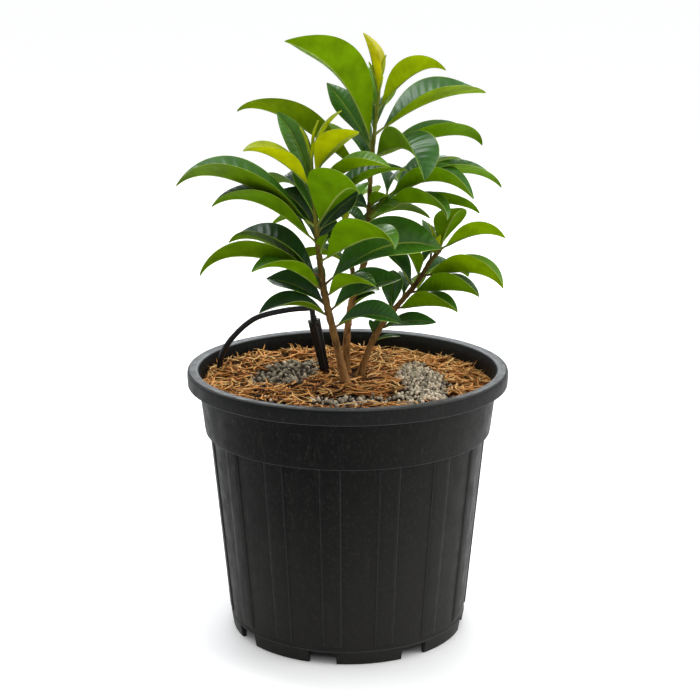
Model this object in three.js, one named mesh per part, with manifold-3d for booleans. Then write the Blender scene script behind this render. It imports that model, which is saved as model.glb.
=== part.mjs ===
// Potted viburnum: a young shrub of three leafy stems in a ribbed nursery pot, with a drip tube on a spike.
// Millimetres, +Z up, +Y to the back. The origin is on the ground, on the pot's axis.
import * as THREE from 'three';
import { mergeVertices } from 'three/addons/utils/BufferGeometryUtils.js';
import Module from 'manifold-3d';

const wasm = await Module();
wasm.setup();

// Driving dimensions
const clearance = 0.3;

const pot = {
  height: 237.5,
  rimRadius: 141,
  rimTop: 9.5,
  rimHeight: 13.7,
  lip: 3,
  wall: 3,
  bandHeight: 42.3,
  bandTopRadius: 131,
  bandFootRadius: 126,
  ledge: 5,
  footRadius: 104.2,
  ringHeight: 13.5,
  floorRise: 10,
  footBevel: 1.4,
  ringStep: 0.5,
  rimBevel: 3,
  skirtTaper: 0.4,
  blend: 1,
  segments: 48,
};
const ribs = { count: 15, first: -97, width: 8.5, proud: 1.1, foot: 16.5, ramp: 2, start: 0.2, sunk: 1.5 };
const notches = { count: 8, first: -102, width: 24, height: 10, depth: 36 };

const mix = { top: 226, flatRadius: 46, edgeTop: 219 };

const tube = { radius: 2.5, bend: 4, sides: 8, steps: 30 };
const spike = { headRadius: 5.6, tipRadius: 3.9, neckRadius: 2.2, neckHeight: 6, fins: 4, finDepth: 0.62 };

const leafSize = {
  petiole: 0.1,
  petioleRadius: 1.2,
  halfWidth: 0.165,
  belly: 1.2,
  fullness: 0.95,
  foldAtFoot: 1.25,
  foldLoss: 0.65,
  thickness: 0.013,
  thinnest: 1.1,
  tip: 0.8,
  stations: [0.25, 0.45, 0.65, 0.84, 1],
};
const flare = { gain: 0.5, height: 7 };
const twig = { sides: 6, steps: 14, leastSteps: 3 };
const seed = 7;
const halvings = 40;

// Each shoot is a smooth route from the ground to its bud. Foliage starts at leafFrom, a height on the route.
// A leaf row gives: height of the foot, heading (0 is +X, 90 the back), reach, drop of the tip below or above
// the foot, arch, width, fold of the two halves, roll, and hook, which is how far out the arch stands.
const shoots = {
  left: {
    route: [[-0.5, -22, 222], [-11.4, -27, 271], [-20.2, -29, 311], [-25.6, -30, 356], [-29.5, -31, 412],
      [-31, -31, 428]],
    footRadius: 3.6,
    tipRadius: 0.9,
    leafFrom: 268,
    leaves: [
      [277, 345, 60.5, 9, 14.5, 1.25, 35, 28, 0.45],
      [292, 15, 64.5, 26, 23, 1.5, 35, 24, 0.4],
      [305, 322, 54, 17, 18.5, 1.5, 40, -8, 0.5],
      [315, 5, 101, 30.5, 36.5, 1.5, 27, 30, 0.55],
      [336, 325, 76.5, 19.5, 28, 1.85, 40, -14, 0.88],
      [366, 312, 54.5, 34.5, 39, 2.55, 37, -22, 0.75],
      [377, 12, 79.5, 35, 36, 1.0, 40, 4, 0.6],
      [394, 345, 66, 25.5, 27, 1.45, 40, 3, 0.5],
      [408, 325, 47, 42, 31.5, 1.6, 30, -20, 0.42],
      [392, 146, 38, 69, 45, 0.78, 25, -40, 0.3],
      [398, 200, 61, 35.5, 35.8, 1.45, 42, -5, 0.6],
      [366, 180, 117.5, 35.5, 44.5, 1.38, 36, 0, 0.72],
      [351.5, 178, 89.5, 32, 38.5, 1.3, 42, 0, 0.61],
      [323, 190, 104, 5, 20.8, 1.1, 42, 10, 0.78],
      [311, 165, 85, 38, 42.4, 1.45, 40, -1, 0.6],
      [309, 205, 66.5, 24, 27.5, 1.3, 42, -4, 0.52],
      [296, 160, 56.5, 21.5, 20.5, 1.3, 30, -30, 0.36],
      [287, 195, 62, 8, 14, 1.2, 40, -14, 0.42],
      [341, 95, 62, 10, 22, 1.2, 40, 0, 0.4],
      [372, 128, 72, 18, 28, 1.2, 40, 0, 0.36],
      [302, 115, 56, 8, 18, 1.1, 40, 0, 0.4],
      [372, 150, 24, 46, 32, 1.0, 25, -35, 0.3],
      [360, 20, 37, 33, 19, 1.5, 20, 32, 0.36],
      [362, 150, 36, 33, 24, 1.9, 20, -30, 0.36],
    ],
  },
  middle: {
    route: [[-2, 22, 222], [-0.5, 20, 260], [4, 17, 292], [16, 13, 334], [18.5, 12, 368], [20, 10, 409],
      [24.5, 9, 456], [27, 9, 478]],
    footRadius: 3.5,
    tipRadius: 1.2,
    leafFrom: 394,
    leaves: [
      [473, 162, 13.5, 52, 30, 1.3, 60, 0, 0.3],
      [426, 205, 81, 94.5, 76.5, 1.2, 45, 30, 0.25],
      [460, 340, 61, 36, 37.9, 1.28, 45, -25, 0.6],
      [439, 20, 104, 33, 33.5, 1.45, 38, 4, 0.5],
      [418, 20, 104, 8, 18.5, 1.15, 44, -2, 0.8],
      [419, 311, 66, -12, 13, 1.85, 45, -10, 0.82],
      [424, 145, 48, 57, 32, 1.05, 20, -25, 0.4],
      [400, 180, 114, 59.5, 62.5, 1.0, 40, 18, 0.75],
      [458, 110, 58, 30, 32, 1.2, 40, 0, 0.36],
      [434, 85, 84, 18, 30, 1.2, 40, 0, 0.36],
      [406, 110, 96, 8, 26, 1.2, 40, 0, 0.4],
    ],
  },
  side: {
    route: [[18.5, 12, 368], [30, 12, 380], [40, 13, 389]],
    footRadius: 2.3,
    tipRadius: 1.5,
    leafFrom: 377,
    budless: true,
    leaves: [
      [382, 340, 80, 6, 20, 1.42, 45, -5, 0.57],
      [385, 10, 101, 6, 20, 1.1, 33, 0, 0.68],
      [385, 40, 89, 23.5, 26, 1.0, 30, 0, 0.5],
      [379, 327, 66, -8, 5, 1.55, 40, -14, 0.98],
      [379, 12, 89, -11, 1, 0.9, 42, -12, 0.78],
      [383, 80, 76, 4, 16, 1.2, 40, 0, 0.4],
    ],
  },
  right: {
    route: [[10, 12, 222], [20.5, 13, 253], [34.5, 16, 276], [59, 20, 305], [72, 22, 325], [82, 22, 338]],
    footRadius: 2.9,
    tipRadius: 1.4,
    leafFrom: 262,
    leaves: [
      [337, 296, 37, 42.5, 31, 1.5, 20, -8, 0.36],
      [337, 352, 57, 12, 15.5, 1.4, 44, -22, 0.6],
      [313, 340, 75, -5, 7.5, 1.65, 50, -9, 0.75],
      [299, 335, 66, 2.5, 6.5, 1.85, 50, -13, 0.78],
      [285, 330, 61.5, 4, 7.5, 1.7, 48, -10, 0.76],
      [266, 352, 51, 8.5, 10, 1.0, 15, 30, 0.4],
      [303, 170, 30, 38, 24, 1.6, 30, -20, 0.36],
      [312, 215, 22, 33, 20, 1.8, 30, 0, 0.36],
      [281, 85, 24, 34, 24, 1.45, 30, 0, 0.36],
      [326, 80, 66, 12, 22, 1.2, 40, 0, 0.4],
      [307, 45, 70, -4, 10, 1.2, 40, 0, 0.45],
      [292, 75, 62, -2, 12, 1.2, 40, 0, 0.45],
    ],
  },
  back: {
    route: [[5.5, 16.5, 296], [4, 34, 316], [0, 56, 340], [-3, 66, 356]],
    footRadius: 2.2,
    tipRadius: 1.3,
    leafFrom: 296,
    leaves: [
      [354, 60, 62, 20, 22, 1.3, 40, 0, 0.36],
      [354, 135, 64, 18, 24, 1.3, 40, 0, 0.36],
      [340, 165, 72, 10, 20, 1.2, 40, 0, 0.4],
      [338, 24, 82, 16, 26, 0.9, 40, 0, 0.45],
      [325, 100, 70, -10, 8, 1.2, 40, 0, 0.5],
      [318, 150, 62, -4, 10, 1.2, 40, 0, 0.45],
    ],
  },
};
const buds = {
  count: 3,
  below: 2,
  turn: 137.5,
  turnSpread: 40,
  reach: 6,
  reachStep: 3,
  rise: 30,
  riseStep: 6,
  riseSpread: 4,
  arch: 0.6,
  fold: 40,
  hook: 0.4,
};

// The drip tube's route, from the mix at the pot's left wall to where it turns down onto the spike's neck
const tubeRoute = [
  [-116.5, 30, 220.4], [-112.5, 31, 241], [-101, 32, 257.5], [-85, 31, 271.5], [-74, 29, 276.5],
  [-61, 25, 280.5], [-48, 21, 283.5], [-38, 17.5, 285],
];
const spikeTop = new THREE.Vector3(-30, 15, 275.5);
const spikeFoot = new THREE.Vector3(-19.6, 19, 224);
const spikeAxis = new THREE.Vector3().subVectors(spikeTop, spikeFoot).normalize();
const neckTop = spikeTop.clone().addScaledVector(spikeAxis, spike.neckHeight);

const up = new THREE.Vector3(0, 0, 1);
const back = new THREE.Vector3(0, 1, 0);
const radians = THREE.MathUtils.degToRad;

// A closed three.js geometry as a solid that can be joined and cut
function toSolid(geometry) {
  const bare = geometry.clone();
  bare.deleteAttribute('normal');
  bare.deleteAttribute('uv');
  const merged = mergeVertices(bare, 1e-4);
  const corners = [];
  const index = merged.index.array;
  for (let i = 0; i < index.length; i += 3) {
    const [a, b, c] = index.slice(i, i + 3);
    if (a !== b && b !== c && c !== a) corners.push(a, b, c);
  }
  const vertProperties = merged.attributes.position.array;
  const make = (triVerts) => new wasm.Manifold(new wasm.Mesh({ numProp: 3, vertProperties, triVerts }));
  const solid = make(new Uint32Array(corners));
  return solid.volume() > 0 ? solid : make(new Uint32Array(corners).reverse());
}

function addMesh(group, name, solid, material) {
  const data = solid.getMesh();
  const geometry = new THREE.BufferGeometry();
  geometry.setAttribute('position', new THREE.BufferAttribute(new Float32Array(data.vertProperties), 3));
  geometry.setIndex(new THREE.BufferAttribute(new Uint32Array(data.triVerts), 1));
  const mesh = new THREE.Mesh(geometry, material);
  mesh.name = name;
  group.add(mesh);
}

// A solid of revolution about Z from [radius, height] pairs
function turned(profile) {
  const points = profile.map(([radius, height]) => new THREE.Vector2(radius, height));
  return toSolid(new THREE.LatheGeometry(points, pot.segments).rotateX(Math.PI / 2));
}

// A closed skin over rings of equal size, with a fan from each end ring's first point
function loft(rings) {
  const size = rings[0].length;
  const index = [];
  for (let r = 0; r + 1 < rings.length; r++) {
    for (let k = 0; k < size; k++) {
      const [a, b] = [r * size + k, r * size + (k + 1) % size];
      index.push(a, b, b + size, a, b + size, a + size);
    }
  }
  const last = (rings.length - 1) * size;
  for (let k = 1; k + 1 < size; k++) {
    index.push(0, k + 1, k, last, last + k, last + k + 1);
  }
  const geometry = new THREE.BufferGeometry().setFromPoints(rings.flat());
  geometry.setIndex(index);
  return toSolid(geometry);
}

// Pot

function potRadius(height) {
  const bandFoot = pot.height - pot.rimHeight - pot.bandHeight;
  if (height > bandFoot) {
    const share = (height - bandFoot) / pot.bandHeight;
    return THREE.MathUtils.lerp(pot.bandFootRadius, pot.bandTopRadius, share);
  }
  return THREE.MathUtils.lerp(pot.footRadius, pot.bandFootRadius - pot.ledge, height / bandFoot);
}

function makePot() {
  const skirtFoot = pot.height - pot.rimHeight;
  const bandFoot = skirtFoot - pot.bandHeight;
  const lipInner = pot.rimRadius - pot.rimTop;
  const floorTop = pot.floorRise + pot.wall;
  let solid = turned([
    [0, pot.floorRise],
    [potRadius(pot.floorRise) - pot.wall - pot.blend, pot.floorRise],
    [pot.footRadius - pot.wall - pot.blend, 0],
    [pot.footRadius - pot.footBevel, 0],
    [pot.footRadius, pot.footBevel],
    [potRadius(pot.ringHeight) + pot.ringStep, pot.ringHeight - 2 * pot.ringStep],
    [potRadius(pot.ringHeight), pot.ringHeight],
    [potRadius(bandFoot), bandFoot],
    [pot.bandFootRadius, bandFoot + pot.blend],
    [pot.bandTopRadius, skirtFoot],
    [pot.bandTopRadius + pot.ringStep, pot.height - 2 * pot.lip],
    [lipInner + pot.blend, pot.height - pot.lip],
    [pot.rimRadius - pot.lip, pot.height - pot.lip],
    [pot.rimRadius - pot.lip - pot.skirtTaper, skirtFoot],
    [pot.rimRadius - pot.skirtTaper, skirtFoot],
    [pot.rimRadius, pot.height - pot.rimBevel],
    [pot.rimRadius - 0.3 * pot.rimBevel, pot.height - 0.3 * pot.rimBevel],
    [pot.rimRadius - pot.rimBevel, pot.height],
    [lipInner + 0.5 * pot.rimBevel, pot.height],
    [lipInner, pot.height - 0.3 * pot.rimBevel],
    [lipInner - pot.rimBevel, pot.height - 2 * pot.rimBevel],
    [pot.bandTopRadius - pot.wall, skirtFoot],
    [pot.bandFootRadius - pot.wall, bandFoot + 2 * pot.blend],
    [potRadius(bandFoot) - pot.wall, bandFoot - pot.blend],
    [potRadius(floorTop) - pot.wall, floorTop],
    [0, floorTop],
  ]);
  for (let i = 0; i < ribs.count; i++) {
    solid = solid.add(makeRib(ribs.first + i * 360 / ribs.count, bandFoot));
  }
  const cutter = new THREE.BoxGeometry(notches.depth, notches.width, 2 * notches.height);
  for (let i = 0; i < notches.count; i++) {
    const turn = radians(notches.first + i * 360 / notches.count);
    const place = new THREE.Matrix4().makeRotationZ(turn);
    place.multiply(new THREE.Matrix4().makeTranslation(pot.footRadius, 0, 0));
    solid = solid.subtract(toSolid(cutter.clone().applyMatrix4(place)));
  }
  return solid;
}

// A flat raised rib that follows the wall from the foot ring to the ledge
function makeRib(heading, top) {
  const ring = (height, proud) => {
    const outer = potRadius(height) + proud;
    const inner = potRadius(height) - ribs.sunk;
    return [[inner, 0.5], [outer, 0.5], [outer, 0], [outer, -0.5], [inner, -0.5]].map(([radius, share]) => {
      const turn = radians(heading + share * ribs.width);
      return new THREE.Vector3(radius * Math.cos(turn), radius * Math.sin(turn), height);
    });
  };
  return loft([ring(ribs.foot, ribs.start), ring(ribs.foot + ribs.ramp, ribs.proud), ring(top, ribs.proud)]);
}

// The potting mix fills the pot and is flat in the middle, where the stems stand
function makeMix() {
  const bandFoot = pot.height - pot.rimHeight - pot.bandHeight;
  const floorTop = pot.floorRise + pot.wall + clearance;
  const inset = pot.wall + clearance;
  return turned([
    [0, floorTop],
    [potRadius(floorTop) - inset - 0.5 * pot.blend, floorTop],
    [potRadius(bandFoot) - inset, bandFoot - pot.blend],
    [pot.bandFootRadius - inset, bandFoot + 2.5 * pot.blend],
    [potRadius(mix.edgeTop) - inset, mix.edgeTop],
    [mix.flatRadius, mix.top],
    [0, mix.top],
  ]);
}

// Drip fitting

function makeTube() {
  const points = tubeRoute.map((point) => new THREE.Vector3(...point));
  points.push(neckTop.clone().addScaledVector(spikeAxis, clearance + tube.bend));
  points.push(neckTop.clone().addScaledVector(spikeAxis, clearance));
  const path = new THREE.CatmullRomCurve3(points);
  const section = new THREE.Shape();
  for (let k = 0; k < tube.sides; k++) {
    const turn = (k / tube.sides) * 2 * Math.PI;
    const [x, y] = [tube.radius * Math.cos(turn), tube.radius * Math.sin(turn)];
    if (k === 0) section.moveTo(x, y);
    else section.lineTo(x, y);
  }
  return toSolid(new THREE.ExtrudeGeometry(section, { steps: tube.steps, extrudePath: path }));
}

// A finned spike with a short neck that the tube is pushed on
function makeSpike() {
  const side = new THREE.Vector3(1, 0, 0).addScaledVector(spikeAxis, -spikeAxis.x).normalize();
  const front = new THREE.Vector3().crossVectors(spikeAxis, side);
  const ring = (centre, radius, depth) => {
    const points = [];
    for (let k = 0; k < 2 * spike.fins; k++) {
      const turn = ((k + 0.5) / spike.fins) * Math.PI;
      const out = k % 2 === 0 ? radius : radius * depth;
      points.push(centre.clone().addScaledVector(side, out * Math.cos(turn))
        .addScaledVector(front, out * Math.sin(turn)));
    }
    return points;
  };
  const body = loft([
    ring(spikeFoot, spike.tipRadius, spike.finDepth),
    ring(spikeTop, spike.headRadius, spike.finDepth),
  ]);
  const neckFoot = spikeTop.clone().addScaledVector(spikeAxis, -spike.neckHeight);
  const neck = loft([ring(neckFoot, spike.neckRadius, 1), ring(neckTop, spike.neckRadius, 1)]);
  return body.add(neck).trimByPlane([0, 0, 1], mix.top + clearance);
}

// Stems and leaves

function curveOf(shoot) {
  const points = shoot.route.map((point) => new THREE.Vector3(...point));
  return new THREE.CatmullRomCurve3(points, false, 'catmullrom', 0.5);
}

// The share of a rising route that lies below a height
function shareAt(curve, height) {
  let [low, high] = [0, 1];
  for (let i = 0; i < halvings; i++) {
    const middle = (low + high) / 2;
    if (curve.getPoint(middle).z < height) low = middle;
    else high = middle;
  }
  return (low + high) / 2;
}

function limbRadius(shoot, share, height, flared) {
  const plain = THREE.MathUtils.lerp(shoot.footRadius, shoot.tipRadius, share);
  return flared ? plain * (1 + flare.gain * Math.exp(-(height - mix.top) / flare.height)) : plain;
}

// A tapering limb along a stretch of a shoot's route, grown by an extra radius where it cuts a seat
function limb(shoot, from, to, { flared = false, extra = 0 } = {}) {
  const curve = curveOf(shoot);
  const rings = [];
  const steps = Math.max(twig.leastSteps, Math.round((to - from) * twig.steps));
  for (let i = 0; i <= steps; i++) {
    const share = from + (to - from) * i / steps;
    const centre = curve.getPoint(share);
    const along = curve.getTangent(share);
    const side = back.clone().addScaledVector(along, -along.y).normalize();
    const across = new THREE.Vector3().crossVectors(along, side);
    const radius = limbRadius(shoot, share, centre.z, flared) + extra;
    const ring = [];
    for (let k = 0; k < twig.sides; k++) {
      const turn = (k / twig.sides) * 2 * Math.PI;
      ring.push(centre.clone().addScaledVector(side, radius * Math.cos(turn))
        .addScaledVector(across, radius * Math.sin(turn)));
    }
    rings.push(ring);
  }
  return loft(rings);
}

// Half the blade's width as a share of its widest, from the petiole's end to the tip
function bladeShape(share) {
  return Math.sin(Math.PI * THREE.MathUtils.clamp(share, 0, 1) ** leafSize.belly) ** leafSize.fullness;
}

// One leaf: a petiole and a blade folded along its midrib, arched from its foot over to its tip
function makeLeaf(foot, [, heading, reach, drop, arch, width, fold, roll, hook]) {
  const ahead = new THREE.Vector3(Math.cos(radians(heading)), Math.sin(radians(heading)), 0);
  const left = new THREE.Vector3().crossVectors(up, ahead);
  const crest = arch >= drop ? arch + Math.sqrt(Math.max(0, arch * (arch - drop))) : arch;
  const over = foot.clone().addScaledVector(ahead, hook * reach).addScaledVector(up, crest);
  const tip = foot.clone().addScaledVector(ahead, reach).addScaledVector(up, drop);
  const midrib = new THREE.QuadraticBezierCurve3(foot, over, tip);
  const length = midrib.getLength();
  const thick = Math.max(leafSize.thinnest, leafSize.thickness * length);
  const stations = [0, leafSize.petiole, ...leafSize.stations];
  return loft(stations.map((share) => {
    const middle = midrib.getPointAt(share);
    const along = midrib.getTangentAt(share);
    const face = new THREE.Vector3().crossVectors(along, left).applyAxisAngle(along, radians(roll));
    const side = left.clone().applyAxisAngle(along, radians(roll));
    const blade = (share - leafSize.petiole) / (1 - leafSize.petiole);
    const onPetiole = share <= leafSize.petiole;
    const half = onPetiole ? leafSize.petioleRadius
      : leafSize.tip + leafSize.halfWidth * length * width * bladeShape(blade);
    const lean = radians(fold) * (leafSize.foldAtFoot - leafSize.foldLoss * share);
    const deep = onPetiole ? 2 * leafSize.petioleRadius : thick / Math.cos(lean);
    const at = (across, depth) => middle.clone()
      .addScaledVector(side, across * half * Math.cos(lean))
      .addScaledVector(face, Math.abs(across) * half * Math.sin(lean) - depth);
    return [at(0, 0), at(-1, 0), at(-1, deep), at(0, deep), at(1, deep), at(1, 0)];
  }));
}

// A small repeatable random number source, from 0 to 1
function makeRandom(start) {
  let state = start >>> 0;
  return () => {
    state = (state + 0x6d2b79f5) >>> 0;
    let value = Math.imul(state ^ (state >>> 15), 1 | state);
    value = (value + Math.imul(value ^ (value >>> 7), 61 | value)) ^ value;
    return ((value ^ (value >>> 14)) >>> 0) / 4294967296;
  };
}

// Young upright leaves round a shoot's bud, each turned on from the last
function budRows(shoot, random) {
  const top = shoot.route.at(-1)[2];
  return Array.from({ length: shoot.budless ? 0 : buds.count }, (_, k) => {
    const heading = buds.turn * k + buds.turnSpread * random();
    const rise = buds.rise - buds.riseStep * k + buds.riseSpread * random();
    const foot = top - buds.below * (k + 1);
    const reach = buds.reach + buds.reachStep * k;
    return [foot, heading, reach, rise, buds.arch * rise, 1, buds.fold, 0, buds.hook];
  });
}

// A mass of foliage: the shoot's leafy stretch with its leaves, less those that touch a limb or another mass
function growMass(shoot, seat, neighbours, random) {
  const curve = curveOf(shoot);
  const start = shareAt(curve, shoot.leafFrom) + clearance / curve.getLength();
  let mass = limb(shoot, start, 1);
  for (const row of [...shoot.leaves, ...budRows(shoot, random)]) {
    const leaf = makeLeaf(curve.getPoint(shareAt(curve, row[0])), row);
    const touches = neighbours.some((solid) => leaf.minGap(solid, 2 * clearance) < clearance);
    if (!touches) mass = mass.add(leaf);
  }
  if (seat) mass = mass.subtract(seat);
  const bodies = mass.decompose().filter((body) => body.volume() > 0);
  return bodies.sort((a, b) => b.volume() - a.volume())[0];
}

function makeStem(shoot) {
  const end = shareAt(curveOf(shoot), shoot.leafFrom);
  return limb(shoot, 0, end, { flared: true }).trimByPlane([0, 0, 1], mix.top + clearance);
}

const plastic = new THREE.MeshStandardMaterial({ color: 0x26262a, roughness: 0.55, metalness: 0 });
const coir = new THREE.MeshStandardMaterial({ color: 0xb07c48, roughness: 0.95, metalness: 0 });
const bark = new THREE.MeshStandardMaterial({ color: 0x7a5a3c, roughness: 0.85, metalness: 0 });
const leafGreen = new THREE.MeshStandardMaterial({ color: 0x4f7d2a, roughness: 0.4, metalness: 0 });
const blackTube = new THREE.MeshStandardMaterial({ color: 0x1c1c1e, roughness: 0.4, metalness: 0 });

const plant = new THREE.Group();
addMesh(plant, 'pot', makePot(), plastic.clone());
addMesh(plant, 'potting_mix', makeMix(), coir);
const drip = { drip_tube: makeTube(), drip_spike: makeSpike() };
for (const [name, solid] of Object.entries(drip)) addMesh(plant, name, solid, blackTube.clone());

const middleSeat = limb(shoots.middle, 0, 1, { flared: true, extra: clearance });
const sideCurve = curveOf(shoots.side);
const limbs = {
  stem_left: makeStem(shoots.left),
  stem_middle: makeStem(shoots.middle),
  stem_right: makeStem(shoots.right),
  bough_side: limb(shoots.side, 0, shareAt(sideCurve, shoots.side.leafFrom)).subtract(middleSeat),
};
for (const [name, solid] of Object.entries(limbs)) addMesh(plant, name, solid, bark.clone());

const random = makeRandom(seed);
const taken = [...Object.values(limbs), ...Object.values(drip)];
for (const [name, shoot] of Object.entries(shoots)) {
  const mass = growMass(shoot, name === 'back' ? middleSeat : null, taken, random);
  addMesh(plant, `foliage_${name}`, mass, leafGreen.clone());
  taken.push(mass);
}

export default plant;
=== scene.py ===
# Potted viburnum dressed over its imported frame: ribbed pot, coir bed, drip fitting, bark and leaves.
# The dictionaries hold millimetres and degrees, as the part's plan does; mm turns lengths into metres.
import math

import bpy
import numpy as np
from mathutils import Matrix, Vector


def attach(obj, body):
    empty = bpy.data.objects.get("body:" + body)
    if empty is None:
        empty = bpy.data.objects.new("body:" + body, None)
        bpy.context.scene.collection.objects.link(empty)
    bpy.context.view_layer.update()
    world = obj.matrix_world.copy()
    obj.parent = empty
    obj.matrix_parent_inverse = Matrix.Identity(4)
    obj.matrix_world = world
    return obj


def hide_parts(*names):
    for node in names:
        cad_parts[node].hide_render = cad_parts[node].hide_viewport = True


mm = 0.001
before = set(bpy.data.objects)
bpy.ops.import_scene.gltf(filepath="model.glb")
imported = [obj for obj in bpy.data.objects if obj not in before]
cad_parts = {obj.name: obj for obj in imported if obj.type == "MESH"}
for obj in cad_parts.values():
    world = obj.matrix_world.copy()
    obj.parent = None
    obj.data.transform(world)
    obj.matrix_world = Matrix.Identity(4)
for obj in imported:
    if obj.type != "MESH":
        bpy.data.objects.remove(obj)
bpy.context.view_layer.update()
print("frame loaded:", len(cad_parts), "nodes")


# Meshes from arrays of points

def newBundle():
    return {"points": [], "faces": [], "slots": [], "maps": [], "tones": [], "count": 0}


# Adds a grid of points as quads. A wrapped grid closes across its columns and may have flat ends.
def addGrid(bundle, grid, slots=0, cell=(0, 0, 1, 1), tones=0.0, wrap=False, ends=False, turned=False):
    rows, cols = grid.shape[:2]
    index = bundle["count"] + np.arange(rows * cols).reshape(rows, cols)
    spans = cols if wrap else cols - 1
    near = index[:, :spans]
    far = np.roll(index, -1, axis=1)[:, :spans]
    quads = np.stack([near[:-1], near[1:], far[1:], far[:-1]], axis=-1).reshape(-1, 4)
    down, across = np.meshgrid(np.arange(rows - 1), np.arange(spans), indexing="ij")
    stepsDown = np.stack([down, down + 1, down + 1, down], axis=-1) / (rows - 1)
    stepsAcross = np.stack([across, across, across + 1, across + 1], axis=-1) / spans
    flat = np.stack([cell[0] + cell[2] * stepsDown, cell[1] + cell[3] * stepsAcross], axis=-1)
    flat = flat.reshape(-1, 4, 2)
    if turned:
        quads = quads[:, ::-1]
        flat = flat[:, ::-1]
    bundle["faces"] += quads.tolist()
    bundle["maps"].append(flat.reshape(-1, 2))
    bundle["slots"].append(np.broadcast_to(slots, (rows - 1, spans)).reshape(-1))
    if ends:
        for ring, slot in ((index[0], 0), (index[-1][::-1], -1)):
            bundle["faces"].append((ring[::-1] if turned else ring).tolist())
            bundle["maps"].append(np.tile([cell[0], cell[1]], (cols, 1)))
            bundle["slots"].append(np.atleast_1d(np.broadcast_to(slots, (rows - 1, spans))[slot, 0]))
    bundle["points"].append(grid.reshape(-1, 3))
    bundle["tones"].append(np.broadcast_to(tones, (rows, cols)).reshape(-1))
    bundle["count"] += rows * cols


# Adds rings of points as a closed tube with flat ends
def addTube(bundle, rings, **extra):
    addGrid(bundle, rings, wrap=True, ends=True, turned=True, **extra)


def addObject(name, data):
    thing = bpy.data.objects.new(name, data)
    bpy.context.scene.collection.objects.link(thing)
    return thing


def buildPiece(name, bundle, finishes, sharp=None, mapped=True):
    mesh = bpy.data.meshes.new(name)
    points = np.concatenate(bundle["points"]) * mm
    mesh.from_pydata(points.tolist(), [], bundle["faces"])
    mesh.polygons.foreach_set("use_smooth", np.ones(len(mesh.polygons), dtype=bool))
    mesh.polygons.foreach_set("material_index", np.concatenate(bundle["slots"]).astype(np.int32))
    if mapped:
        layer = mesh.uv_layers.new(name="OFBake")
        layer.data.foreach_set("uv", np.concatenate(bundle["maps"]).astype(np.float32).ravel())
    tone = mesh.attributes.new("tone", "FLOAT", "POINT")
    tone.data.foreach_set("value", np.concatenate(bundle["tones"]).astype(np.float32))
    for finish in finishes:
        mesh.materials.append(finish)
    if sharp:
        mesh.set_sharp_from_angle(angle=math.radians(sharp))
    mesh.update()
    return addObject(name, mesh)


# A soft repeatable ripple between about -1 and 1, with waves near the given length
def ripple(points, length, seed, waves=10, spread=(0.6, 1.7)):
    draw = np.random.default_rng(seed)
    total = np.zeros(points.shape[:-1])
    for _ in range(waves):
        aim = draw.normal(size=3)
        aim *= draw.uniform(*spread) * 2 * math.pi / (length * np.linalg.norm(aim))
        total += np.sin(points @ aim + draw.uniform(0, 2 * math.pi))
    return total / math.sqrt(waves)


def unit(vectors):
    return vectors / np.linalg.norm(vectors, axis=-1, keepdims=True)


def smoothStep(value, low, high):
    share = np.clip((value - low) / (high - low), 0, 1)
    return share * share * (3 - 2 * share)


# Finishes

cloudSpan = (0.3, 0.7)     # most of a cloud's values lie in this stretch


def skinOf(material):
    return material.node_tree.nodes["Principled BSDF"]


def newFinish(name, colour, rough, shine):
    material = bpy.data.materials.new(name)
    material.use_nodes = True
    skin = skinOf(material)
    skin.inputs["Base Color"].default_value = (*colour, 1)
    skin.inputs["Roughness"].default_value = rough
    skin.inputs["Specular IOR Level"].default_value = shine
    return material


# A cloudy pattern on the object's own coordinates; size is in millimetres, stretch draws it out along an axis
def cloud(material, size, detail=4.0, stretch=(1, 1, 1), rough=0.55):
    tree = material.node_tree
    place = tree.nodes.new("ShaderNodeTexCoord")
    mapping = tree.nodes.new("ShaderNodeMapping")
    mapping.inputs["Scale"].default_value = [1 / (size * mm * s) for s in stretch]
    noise = tree.nodes.new("ShaderNodeTexNoise")
    noise.inputs["Scale"].default_value = 1.0
    noise.inputs["Detail"].default_value = detail
    noise.inputs["Roughness"].default_value = rough
    tree.links.new(place.outputs["Object"], mapping.inputs["Vector"])
    tree.links.new(mapping.outputs["Vector"], noise.inputs["Vector"])
    return noise.outputs["Fac"]


def toneOf(material):
    node = material.node_tree.nodes.new("ShaderNodeAttribute")
    node.attribute_name = "tone"
    return node.outputs["Fac"]


def placeAlong(material, axis):
    tree = material.node_tree
    place = tree.nodes.new("ShaderNodeTexCoord")
    split = tree.nodes.new("ShaderNodeSeparateXYZ")
    tree.links.new(place.outputs["Object"], split.inputs["Vector"])
    return split.outputs[axis]


# Turns a driver's rise from low to high into one from first to last
def spanOf(material, driver, low, high, first, last):
    tree = material.node_tree
    span = tree.nodes.new("ShaderNodeMapRange")
    for label, value in zip(("From Min", "From Max", "To Min", "To Max"), (low, high, first, last)):
        span.inputs[label].default_value = value
    tree.links.new(driver, span.inputs["Value"])
    return span.outputs["Result"]


def colourBy(material, driver, stops):
    tree = material.node_tree
    ramp = tree.nodes.new("ShaderNodeValToRGB")
    while len(ramp.color_ramp.elements) < len(stops):
        ramp.color_ramp.elements.new(0.5)
    for element, (position, colour) in zip(ramp.color_ramp.elements, stops):
        element.position = position
        element.color = (*colour, 1)
    tree.links.new(driver, ramp.inputs["Fac"])
    tree.links.new(ramp.outputs["Color"], skinOf(material).inputs["Base Color"])
    return ramp.outputs["Color"]


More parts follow.
